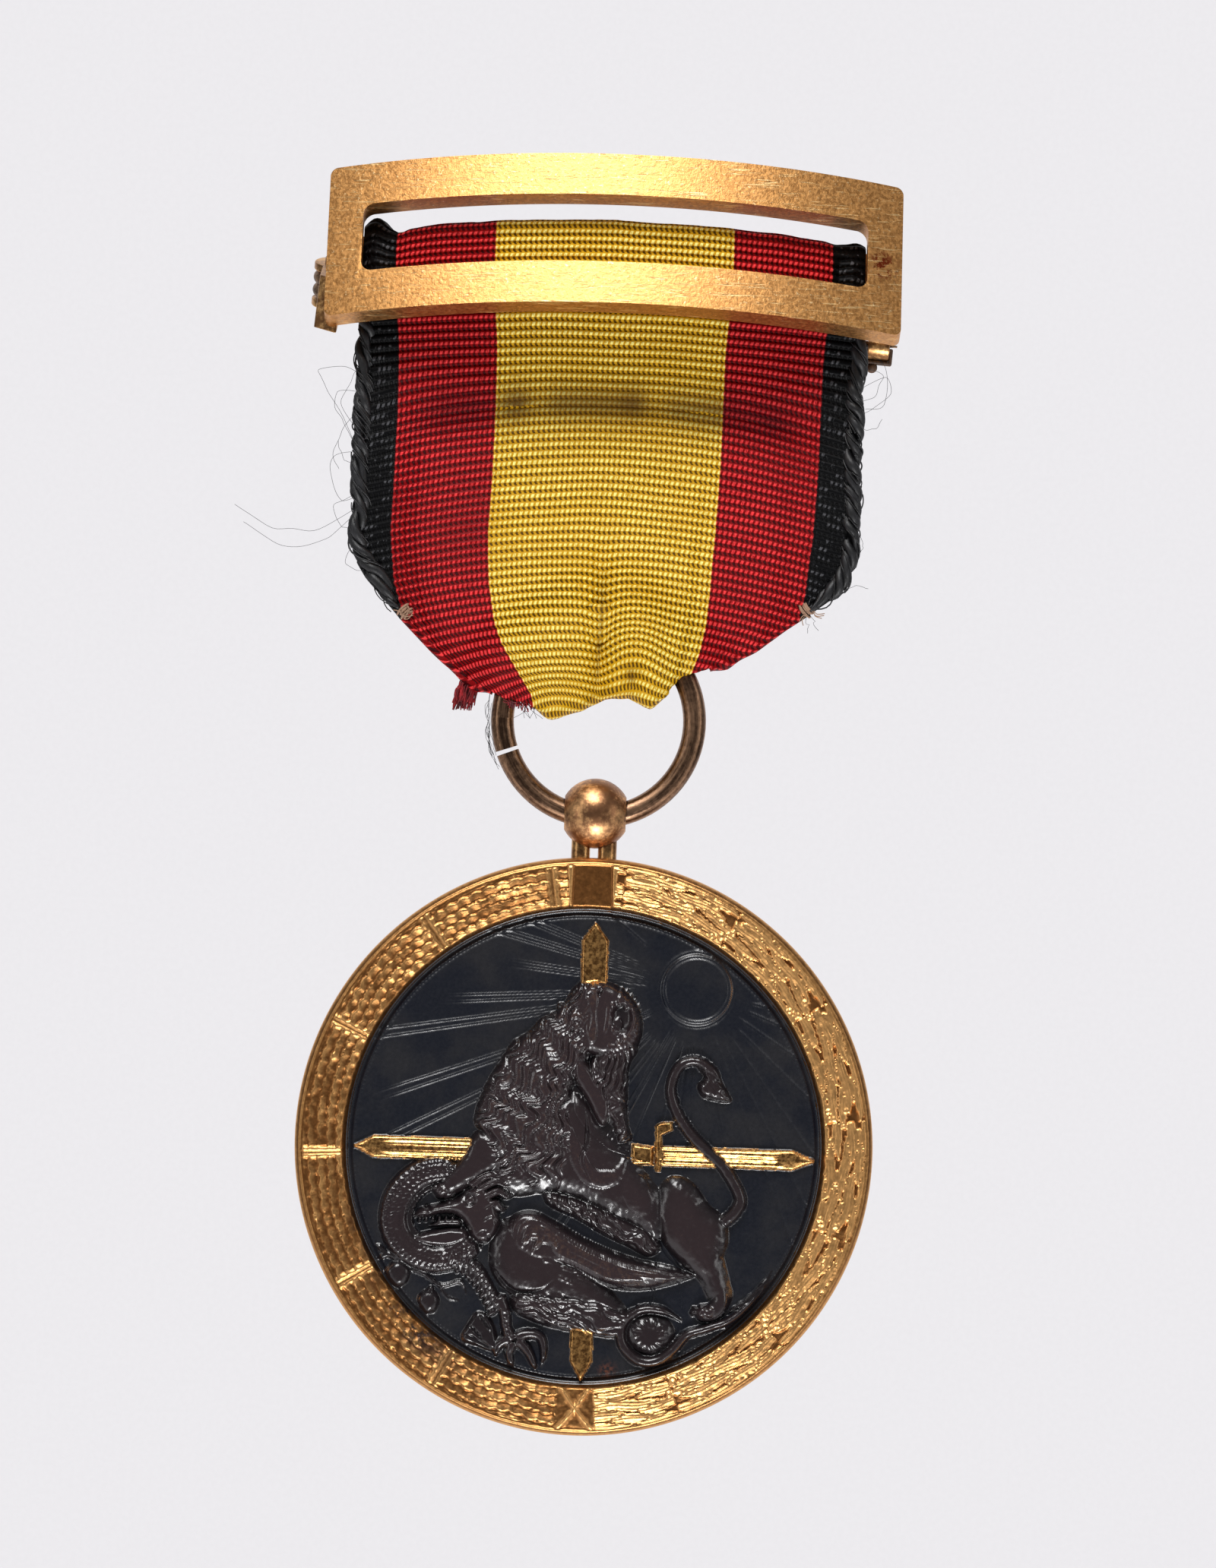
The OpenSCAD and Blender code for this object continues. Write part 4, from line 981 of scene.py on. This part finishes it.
def face_depth(c, x, z):
    """Pleats, dimples and the soft crease of the front layer, as distance towards the viewer."""
    zr = z - RING_Z
    d = -0.80 * bell(x, -0.1, 0.62) * smooth(zr, 13.5, 6.0)
    d += 0.55 * bell(x, 2.5, 1.4) * smooth(zr, 12.0, 5.0)
    d += 0.34 * bell(x, -3.2, 1.9) * smooth(zr, 10.0, 3.0)
    d += 0.30 * spot(x, zr, (3.6, 3.0), (1.0, 1.3)) - 0.75 * spot(x, zr, (2.15, 2.8), (0.75, 0.9))
    d += 0.26 * bell(x + 0.4 * (zr - 4), -7.2, 1.3) * smooth(zr, 10.0, 4.0)
    d += 0.22 * bell(x - 0.5 * (zr - 4), 8.6, 1.3) * smooth(zr, 10.0, 4.5)
    crease = z + 6.0 + 0.008 * c * c
    fold = 0.34 * bell(crease, -2.6, 1.9) - 0.30 * bell(crease, 0.15, 0.7)
    d += fold * (1 - 0.8 * smooth(np.abs(c), 10.5, 15))
    return d + 0.10 * noise2(c, z, 61, 3.2) * smooth(z, -1.0, -5.0)


class Strip:
    """Rows of points across the cloth, each with its place along the cloth for the weave."""

    def __init__(self):
        self.rows, self.along = [], []

    def add(self, points, along):
        self.rows.append(points)
        self.along.append(np.broadcast_to(along, THREADS))

    def add_column(self, x, y, z, along):
        self.add(np.stack(np.broadcast_arrays(x, y, z), -1), along)


def lay_hem_and_loop(strip):
    """The sewn end runs up behind the back layer, then over the bar and down to the window."""
    c = ACROSS
    lift = 0.80 * bell(c, -15.2, 0.75) - 0.30 * bell(c, -13.5, 0.45) - 0.12 * bell(c, 13.8, 0.5)
    lift = lift + 0.22 * bell(c, 15.4, 0.5) + 0.06 * noise1(c, 71, 1.7)
    lift = lift - 0.20 * smooth(c, -11.2, -13.2) * (1 - smooth(-c, 14.2, 15.0))
    for t in np.linspace(0, 1, HEM_ROWS, endpoint=False):
        strip.add_column(c, CHAIN_Y + 0.36, -7.0 + t * 4.7, -26 + t * 4.7)
    hem_end, leg_end = strip.rows[-1], in_frame_axes(41.3, BAR_TURN, 3.3)
    for t in np.linspace(0, 1, LEG_ROWS):
        strip.add(hem_end * (1 - smooth(t, 0, 1)) + leg_end * smooth(t, 0, 1), -21.3 + t * 5)
    for t in np.linspace(0, 1, RISE_ROWS + 1)[1:]:
        strip.add(in_frame_axes(41.3, BAR_TURN, 3.3 + 2.5 * t + lift * 0.5 * t), -16.3 + 2.5 * t)
    squareness = 2 / 3.0
    for i in range(1, ARC_ROWS + 1):
        a = math.pi * i / (ARC_ROWS + 1)
        dr = -0.76 * np.sign(math.cos(a)) * abs(math.cos(a)) ** squareness
        dz = 0.78 * math.sin(a) ** squareness
        strip.add(in_frame_axes(BAR_R + dr, BAR_TURN, LOOP_C + dz + lift * (0.5 + 0.5 * math.sin(a))),
                  -13.8 + 2.9 * i / (ARC_ROWS + 1))
    bunch = 0.28 * bell(c, 14.9, 0.4) - 0.20 * bell(c, 14.1, 0.35) + 0.30 * bell(c, -14.9, 0.6)
    for t in np.linspace(0, 1, WINDOW_ROWS):
        strip.add(in_frame_axes(42.80 + bunch * math.sin(math.pi * t), BAR_TURN,
                                LOOP_C - (LOOP_C - 2.9) * t + lift * 0.5 * (1 - smooth(t, 0.1, 0.9))),
                  -10.9 + 2.9 * t)


def lay_face(strip):
    """The face below the buckle, with its pleats, down to the fold and the folded-in corners."""
    c, top, top_along = ACROSS, strip.rows[-1], strip.along[-1][0]
    end_x, end_z = np.array(LOWER_END).T
    ends = np.full(THREADS, -20.0)
    for _ in range(60):
        ends = 0.5 * ends + 0.5 * (RING_Z + np.interp(warp_x(c, ends), end_x, end_z))
    ends += 0.05 * noise1(c, 73, 0.8)
    z_top = top[:, 2]
    forward = CHAIN_Y - 0.30 - top[:, 1]
    for t in np.linspace(0, 1, FACE_ROWS + 1)[1:]:
        z = z_top + (ends - z_top) * t
        zr = z - RING_Z
        x = top[:, 0] * (1 - smooth(z, 2.2, -3.0)) + warp_x(c, z) * smooth(z, 2.2, -3.0)
        drop = np.clip((z_top - z) / (z_top + 6.3), 0, 1)
        pleats = face_depth(c, x, z) * smooth(z, 2.0, -1.0)
        y = CHAIN_Y - layer_gap(x, z) - forward * (1 - drop) ** 1.25 - pleats
        y = np.minimum(y, CHAIN_Y - ring_room(x, z))
        arch = 0.0035 + 0.0058 * smooth(z, -2.0, -8.0)
        hump = 0.95 * spot(x, zr, (2.3, 4.4), (1.9, 2.6)) - 0.35 * spot(x, zr, (0.0, 6.0), (0.9, 4.5)) \
            + 0.55 * spot(x, zr, (-3.0, 1.5), (2.2, 1.8))
        strip.add_column(x, y, z, top_along + (z_top[THREADS // 2] - z) - arch * c * c + hump
                         + 0.06 * noise2(c, z, 75, 4.0))


def lay_turn_and_back(strip):
    """Round the fold and the tacked corners, then up the back."""
    c, (x0, y0, z0), along = ACROSS, strip.rows[-1].T, strip.along[-1]
    back_y = CHAIN_Y + np.maximum(layer_gap(x0, z0) - 0.02, ring_room(x0, z0))
    mid_y, rad = (y0 + back_y) / 2, (back_y - y0) / 2
    off = np.abs(x0)
    sag = np.minimum(rad, 0.55) * np.maximum(1 - smooth(off, 3.2, 4.3), smooth(off, 6.9, 8.2))
    for i in range(1, TURN_ROWS + 1):
        a = math.pi * i / (TURN_ROWS + 1)
        strip.add_column(x0, mid_y - rad * math.cos(a), z0 - sag * math.sin(a), along + 0.12 * i)
    for t in np.linspace(0, 1, BACK_ROWS):
        z = z0 + (-3.3 - z0) * t
        x = warp_x(c, z)
        y = CHAIN_Y + layer_gap(x, z) - 0.27 * smooth(z, -9.0, -6.5)
        y = y + 0.06 * noise2(c, z, 77, 3.0) * smooth(z, -9.0, -12.0)
        y = np.maximum(y, CHAIN_Y + ring_room(x, z))
        strip.add_column(x, y, z, 30 + (z - RING_Z) + 0.002 * c * c)


def painted_cloth_shade(P, C):
    """Painted shade in the front: the crease, the valley between pleats and the pucker above the ring,
    darkened in colour.
    """
    x, y, z = P[:, :, 0], P[:, :, 1], P[:, :, 2]
    zr = z - RING_Z
    crease = bell(z + 5.75 + 0.0088 * C * C, 0, 1.25) * (0.95 - 0.35 * smooth(np.abs(C), 6.8, 7.8))
    crease = crease * (1 - smooth(np.abs(C), 10.5, 13.4)) * (0.75 + 0.35 * noise1(C, 81, 1.5))
    valley = bell(x, -0.12 + 0.05 * (zr - 5), 0.16) * smooth(zr, 10.5, 7.5) * smooth(zr, 2.2, 3.2)
    pucker = spot(x, zr, (2.0, 2.9), (0.34, 0.5))
    return np.clip((crease + 0.42 * valley + 0.65 * pucker) * (y < CHAIN_Y), 0, 1)


def ribbon():
    """One strip of cloth from its sewn hem, over the bar, down the face, round the ring and up the back."""
    strip = Strip()
    lay_hem_and_loop(strip)
    first_face = len(strip.rows)
    lay_face(strip)
    last_face = len(strip.rows) - 1
    x_end = strip.rows[-1][:, 0]
    lay_turn_and_back(strip)
    P, S = np.array(strip.rows), np.array(strip.along)
    C = np.broadcast_to(ACROSS, S.shape)
    # ribs and yarns stand up along the cloth's own normal, on the stretch that shows
    N = unit(np.cross(np.gradient(P, axis=0), np.gradient(P, axis=1)))
    out = -1.0 if N[first_face + 60, THREADS // 2, 1] > 0 else 1.0
    shown = np.zeros(S.shape)
    shown[HEM_ROWS + LEG_ROWS + RISE_ROWS:first_face + FACE_ROWS] = 1.0
    ribs = 0.050 * (np.cos(2 * np.pi * S / RIB) - 0.2) * (1 - smooth(np.abs(C), 15.3, 15.8))
    P = P + N * (out * shown * (ribs + 0.018 * noise2(C, S, 79, 0.5)))[:, :, None]
    # the ring's wire leaves the ribbon through two open slots beside the fold
    quads = grid_faces(len(P), THREADS)
    row, off = quads[:, 0] // THREADS, np.abs(x_end)[quads[:, 0] % THREADS]
    slot = (row >= last_face - 1) & (row <= last_face + TURN_ROWS + 2) & (off > 4.35) & (off < 6.9)
    ob = make_object("ribbon", P.reshape(-1, 3), quads[~slot], NO_TRIS, woven())
    attribute(ob, "across", C)
    attribute(ob, "along", S)
    # painted shade of the crease, the valley and the pucker, which the woven material darkens its colour with
    attribute(ob, "painted_shade", painted_cloth_shade(P, C))
    cloth = ob.modifiers.new("cloth", "SOLIDIFY")
    cloth.thickness = CLOTH_T * MM
    cloth.offset = 0
    cloth.use_even_offset = False
    return ob


def rope_edge(side, seed):
    """The overcast edge: strands of black thread wound over the ribbon's edge down to the tacked corner."""
    r = np.random.default_rng(seed)
    corner = [(-15.95, 11.5), (-15.3, 9.95), (-14.2, 8.2), (-12.9, 6.7)] if side < 0 else \
        [(15.75, 10.9), (15.2, 9.5), (14.3, 8.55), (13.2, 7.55)]
    outline = [(side * 15.75, z) for z in np.linspace(-0.9, -13.5, 22)] + [(x, RING_Z + z) for x, z in corner]
    core = curve([(x, CHAIN_Y - 0.25, z) for x, z in outline], 6)
    core[:, 0] += side * 0.14 * noise1(core[:, 2], seed + 1, 1.6)
    n = len(core)
    s = np.concatenate([[0], np.cumsum(np.linalg.norm(np.diff(core, axis=0), axis=1))])
    depth = np.array([0, 1.0, 0])
    sideways = np.cross(unit(np.gradient(core, axis=0)), depth)
    fade = 0.35 + 0.65 * (1 - smooth(s, s[-1] - 2.0, s[-1]))
    pitch = 3.4 if side > 0 else 4.4
    paths, radii = [], []
    for k in range(3):
        a = 2 * np.pi * (s / pitch + k / 3) + 0.7 * noise1(s, seed + 5 + k, 1.3)
        off = 0.30 + 0.06 * noise1(s, seed + 9 + k, 0.9)
        paths.append(core + sideways * (off * np.cos(a) * fade)[:, None]
                     + depth * (off * 1.1 * np.sin(a))[:, None])
        radii.append((0.31 + 0.04 * noise1(s, seed + 13 + k, 0.6)) * fade)
    for _ in range(34):
        i0 = r.integers(0, n - 30)
        i1 = min(n - 1, i0 + r.integers(14, 44))
        a = 2 * np.pi * (s[i0:i1] / r.uniform(2.4, 6.0)) + r.uniform(0, 6.28)
        off = r.uniform(0.50, 0.66)
        paths.append(core[i0:i1] + sideways[i0:i1] * (off * np.cos(a))[:, None]
                     + depth * (off * np.sin(a))[:, None])
        radii.append(r.uniform(0.035, 0.06))
    return paths, radii


def tack(side):
    """A few turns of brown thread over the folded corner, and its loose ends."""
    r = np.random.default_rng(91 + side)
    x0, z0 = (-12.75, RING_Z + 6.35) if side < 0 else (13.25, RING_Z + 7.45)
    lean = math.radians(46 if side < 0 else -40)
    paths = []
    for k in range(5):
        off = (k - 2) * 0.12 + r.uniform(-0.05, 0.05)
        wide, deep = r.uniform(0.36, 0.56), r.uniform(0.56, 0.72)
        a = np.linspace(0, 2 * np.pi, 25) + r.uniform(0, 6.28)
        px, pn = off + 0.12 * np.sin(a), wide * np.cos(a) + 0.25
        x = x0 + px * math.cos(lean) + pn * math.sin(lean)
        z = z0 - px * math.sin(lean) + pn * math.cos(lean)
        paths.append(np.stack([x, CHAIN_Y + deep * np.sin(a), z], -1))
    for _ in range(5):
        a = r.uniform(0, 6.28)
        p0 = np.array([x0 + r.uniform(-0.3, 0.3), CHAIN_Y - 0.7, z0 + r.uniform(-0.3, 0.1)])
        paths.append(curve([p0, p0 + [0.3 * math.cos(a), -0.2, 0.3 * math.sin(a)],
                            p0 + [0.7 * math.cos(a + 0.5), -0.1, 0.6 * math.sin(a + 0.5)]], 5))
    return paths, [0.080] * 5 + [0.03] * 5


# Loose fibres beside the ribbon's edges, as points of x and height
STRAYS = [
    [(-15.9, -4.6), (-17.0, -4.0), (-18.7, -4.2), (-18.2, -5.4), (-17.0, -7.2), (-16.2, -9.2)],
    [(-16.0, -5.6), (-17.4, -5.8), (-17.2, -7.4), (-16.3, -8.8)],
    [(-16.0, -8.2), (-17.2, -6.4), (-16.7, -5.0), (-15.9, -3.8)],
    [(-16.1, -9.4), (-17.5, -9.9), (-17.7, -11.4), (-16.9, -12.6), (-16.2, -12.4)],
    [(-16.2, -12.2), (-17.3, -13.0), (-17.0, -14.2), (-16.1, -14.4)],
    [(-16.2, -13.6), (-18.0, -15.2), (-20.6, -15.6), (-23.2, -14.2)],
    [(-16.2, -13.2), (-18.6, -14.6), (-21.4, -14.4), (-23.8, -13.1)],
    [(-15.8, -15.0), (-16.6, -16.4), (-15.8, -17.0), (-14.8, -16.6)],
    [(-15.9, -6.6), (-16.9, -7.8), (-17.6, -9.6), (-17.2, -10.6)],
    [(-16.1, -10.4), (-16.9, -10.0), (-17.3, -8.8)],
    [(15.9, -3.0), (17.4, -3.4), (17.0, -4.8), (15.9, -5.2)],
    [(15.9, -4.4), (17.6, -3.6), (17.9, -4.6), (16.8, -5.6), (15.9, -6.0)],
    [(15.9, -6.6), (16.9, -7.0), (17.5, -6.2)],
    [(15.9, -2.4), (16.8, -2.2), (17.8, -3.0), (17.6, -5.2), (16.4, -5.6)],
    [(15.8, -13.4), (16.6, -14.0), (16.4, -14.8)],
    [(15.0, -17.4), (16.2, -16.9), (17.0, -17.1)],
    [(13.4, -19.0), (13.9, -19.9)], [(13.1, -19.1), (13.2, -20.1)],
]


def hair(r, points, wild):
    """A fibre through the points that wanders between its ends."""
    p = curve(points, 8)
    w = np.linspace(0, 1, len(p))
    for k in range(3):
        p[:, k] += wild * noise1(w * 6, int(r.integers(1, 9999)), 1.0) * np.sin(np.pi * w)
    return p


def hairs():
    """Loose fibres: black ones beside the edges and round the ring, red ones in the frayed tuft."""
    r = np.random.default_rng(17)
    black, red = [], []
    y = CHAIN_Y - 0.3
    for path in STRAYS:
        black.append(hair(r, [(x, y + r.uniform(-0.25, 0.25), z) for x, z in path], 0.16))
    for _ in range(12):
        a = math.radians(r.uniform(158, 196))
        out = RING_R + WIRE_R + r.uniform(0.02, 0.25)
        arc = r.uniform(0.25, 0.5)
        points = [(out * math.cos(a + s * arc) + r.uniform(-0.12, 0.05), y - r.uniform(-0.6, 0.9),
                   RING_Z + out * math.sin(a + s * arc)) for s in (0, 0.35, 0.7, 1.0)]
        black.append(hair(r, points, 0.18))
    for _ in range(7):
        p0 = np.array([-4.4 + r.uniform(-0.5, 0.4), CHAIN_Y - 1.5, RING_Z + 0.9])
        bend = p0 + [r.uniform(-0.4, 0.5), -0.2, -0.4]
        black.append(hair(r, [p0, bend, p0 + [r.uniform(-0.9, 0.9), -0.1, -0.9]], 0.08))
    for _ in range(110):
        u = r.uniform(-1, 1)
        p0 = np.array([-8.15 + 0.62 * u, CHAIN_Y - 0.1 + r.uniform(-0.30, 0.15), RING_Z + 3.1 + 0.5 * u])
        tip = np.array([-8.75 + 0.55 * u + r.uniform(-0.25, 0.25), p0[1] + r.uniform(-0.25, 0.25),
                        RING_Z + r.uniform(0.35, 1.15)])
        middle = (p0 + tip) / 2 + [r.uniform(-0.15, 0.05), r.uniform(-0.1, 0.1), 0.1]
        red.append(hair(r, [p0, middle, tip], 0.08))
    for _ in range(36):
        p0 = np.array([r.uniform(-6.2, -4.4), CHAIN_Y - 1.5 + r.uniform(-0.1, 0.1),
                       RING_Z + r.uniform(1.0, 1.4)])
        tip = p0 + [r.uniform(0.0, 0.7), r.uniform(-0.15, 0.0), r.uniform(-0.7, -0.3)]
        red.append(hair(r, [p0, (p0 + tip) / 2 + [0.1, 0, 0.05], tip], 0.05))
    return black, red


# ---------------------------------------------------------------- finishes on the CAD parts
def round_shading():
    """A modifier that shades a part smooth, so that its bevelled edges catch the light as one soft line."""
    g = bpy.data.node_groups.new("round_shading", "GeometryNodeTree")
    g.interface.new_socket("Geometry", in_out="INPUT", socket_type="NodeSocketGeometry")
    g.interface.new_socket("Geometry", in_out="OUTPUT", socket_type="NodeSocketGeometry")
    chain = [g.nodes.new(kind) for kind in ("NodeGroupInput", "GeometryNodeSetShadeSmooth",
                                            "NodeGroupOutput")]
    for a, b in zip(chain, chain[1:]):
        g.links.new(a.outputs[0], b.inputs[0])
    return g


def soften(ob, width, rounded):
    """Rounded edges for a CAD part, in mm."""
    ob.modifiers.new("weld", "WELD").merge_threshold = 0.002 * MM
    bevel = ob.modifiers.new("bevel", "BEVEL")
    bevel.width = width * MM
    bevel.segments = 6
    bevel.limit_method = "ANGLE"
    bevel.angle_limit = math.radians(35)
    ob.modifiers.new("round", "NODES").node_group = rounded
    ob.modifiers.new("even", "WEIGHTED_NORMAL").weight = 90


def finish_cad():
    """Materials and soft edges for the CAD's own nodes."""
    brushed, wire = gilt_brushed(), bronze_wire()
    worn = gilt_worn("gilt_worn", (0.80, 0.47, 0.185), (0.30, 0.145, 0.06), 0.3)
    ball = gilt_worn("gilt_ball", (0.84, 0.47, 0.21), (0.30, 0.145, 0.07), 0.36)
    dull = gilt_worn("gilt_dull", (0.42, 0.26, 0.15), (0.12, 0.08, 0.055), 0.42)
    brown = thread_mat("brown_thread", (0.030, 0.013, 0.006), (0.15, 0.075, 0.035), 0.6)
    looks = [(brushed, "gilt_buckle", "buckle_frame ribbon_bar"), (worn, "gilt_buckle",
                                                                   "hinge_lug catch_hook"),
             (ball, "gilt_buckle", "suspension_ball"), (dull, "dark_bronze", "hinge_rivet"),
             (dull, "gilt_wire", "brooch_pin"), (wire, "dark_bronze", "suspension_ring"),
             (worn, "dark_bronze", "ball_stem"), (worn, "medal_gilt", "medal_disc"),
             (brown, "brown_thread", "catch_thread hem_stitches corner_tack_left corner_tack_right"),
             (brown, "ribbon", "ribbon_upper ribbon_lower")]
    for material, slot, names in looks:
        for name in names.split():
            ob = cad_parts[name]
            ob.data.materials.clear()
            ob.data.materials.append(material)
    rounded = round_shading()
    for name, width in (("buckle_frame", 0.42), ("hinge_lug", 0.12), ("catch_hook", 0.10),
                        ("ribbon_bar", 0.12)):
        soften(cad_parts[name], width, rounded)


# ---------------------------------------------------------------- assembly
def dress_ribbon():
    """The cloth with its overcast edges, tacks and loose fibres."""
    band = ribbon()
    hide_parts("ribbon_upper", "ribbon_lower")
    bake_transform(band)
    black = thread_mat("black_thread", (0.0015, 0.0015, 0.0018), (0.010, 0.010, 0.012), 0.5, 2600.0)
    edges = [tubes("edge_left", *rope_edge(-1, 101), black, 7), tubes("edge_right", *rope_edge(1, 202), black,
                                                                      7)]
    for edge in edges:
        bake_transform(edge)
    # the tacks take the plain, lighter brown that the CAD's own material of this name has
    plain_brown = bpy.data.materials["brown_thread"]
    for side, name in ((-1, "left"), (1, "right")):
        piece = tubes("tack_" + name, *tack(side), plain_brown, 6)
        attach(piece, "ribbon")
        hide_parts("corner_tack_" + name)
    black_hair, red_hair = hairs()
    hair_mat = thread_mat("hair", (0.004, 0.004, 0.005), (0.03, 0.03, 0.035), 0.5)
    tuft_mat = thread_mat("tuft", (0.06, 0.002, 0.004), (0.38, 0.010, 0.016), 0.6)
    loose = tubes("loose_hairs", black_hair, [0.013] * len(black_hair), hair_mat, 5)
    tuft = tubes("frayed_tuft", red_hair, [0.045] * len(red_hair), tuft_mat, 5)
    for piece in (loose, tuft):
        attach(piece, "ribbon")


# ---------------------------------------------------------------- stage, light and camera
ROOM_TONE, ROOM_LEVEL = (0.80, 0.79, 0.82), 0.16
CAMERA_ROLL = -2.0


def pale_paper():
    """The backdrop glows as evenly as the photograph's, and dims to the room's tone where it isn't lit."""
    n = Nodes("pale_paper")
    grain = n.noise(n.coords(), 900.0, 3, 0.6)
    glow = n.mix(grain.fit(0.3, 0.7), (0.835, 0.82, 0.845), (0.85, 0.835, 0.86))
    glow = n.mix(n.attr("lit"), tuple(x * ROOM_LEVEL for x in ROOM_TONE), glow)
    return n.done(Base_Color=(0.02, 0.02, 0.02), Roughness=1.0, Specular_IOR_Level=0.0,
                  Emission_Color=glow, Emission_Strength=0.99)


def backdrop():
    """A swept sheet of paper, well clear of the object."""
    section = [(y, -600) for y in np.linspace(-1800, 500, 24)]
    section += [(500 + 300 * math.sin(a), -300 - 300 * math.cos(a)) for a in np.linspace(0, math.pi / 2,
                                                                                         12)[1:]]
    section += [(800, z) for z in np.linspace(0, 1500, 8)]
    xs = np.linspace(-2000, 2000, 33)
    v = np.array([[(x, y, z) for x in xs] for y, z in section])
    ob = make_object("backdrop", v.reshape(-1, 3), grid_faces(len(section), len(xs)), NO_TRIS, pale_paper())
    attribute(ob, "lit", smooth(v[:, :, 1], -1300, -100) * (1 - smooth(np.abs(v[:, :, 0]), 1000, 1700)))


def softbox(name, place, size, power):
    """An area light that faces the medal; the camera doesn't see it."""
    data = bpy.data.lights.new(name, "AREA")
    data.shape = "RECTANGLE"
    data.size, data.size_y = size[0] * MM, size[1] * MM
    data.energy = power
    ob = link(name, data)
    ob.location = Vector(place) * MM
    ob.rotation_euler = (Vector((0, 0, -30)) * MM - ob.location).to_track_quat("-Z", "Y").to_euler()
    ob.visible_camera = False


def stage():
    """Backdrop, room light and softboxes."""
    backdrop()
    world = bpy.data.worlds.new("studio")
    world.use_nodes = True
    colour, strength = world.node_tree.nodes["Background"].inputs[:2]
    colour.default_value, strength.default_value = (*ROOM_TONE, 1), ROOM_LEVEL
    bpy.context.scene.world = world
    softbox("key_top", (-60, -330, 430), (340, 230), 3.3)
    softbox("key_low", (40, -330, -470), (220, 90), 1.9)
    softbox("fill_left", (-520, -300, 0), (120, 380), 0.35)
    softbox("fill_right", (520, -260, 40), (120, 380), 0.35)


def camera():
    """The photograph's view: straight on, with a little roll."""
    data = bpy.data.cameras.new("camera")
    data.lens = 143
    data.sensor_width = 36
    data.clip_start, data.clip_end = 0.01, 10
    cam = link("camera", data)
    cam.location = Vector((0.75, -403, -30.2)) * MM
    cam.rotation_euler = (math.radians(90), math.radians(CAMERA_ROLL), 0)
    bpy.context.scene.camera = cam


finish_cad()
medal_face(dark_relief())
medal_rim(rim_gilt())
dress_ribbon()
stage()
camera()
bpy.context.scene.view_settings.view_transform = "Standard"
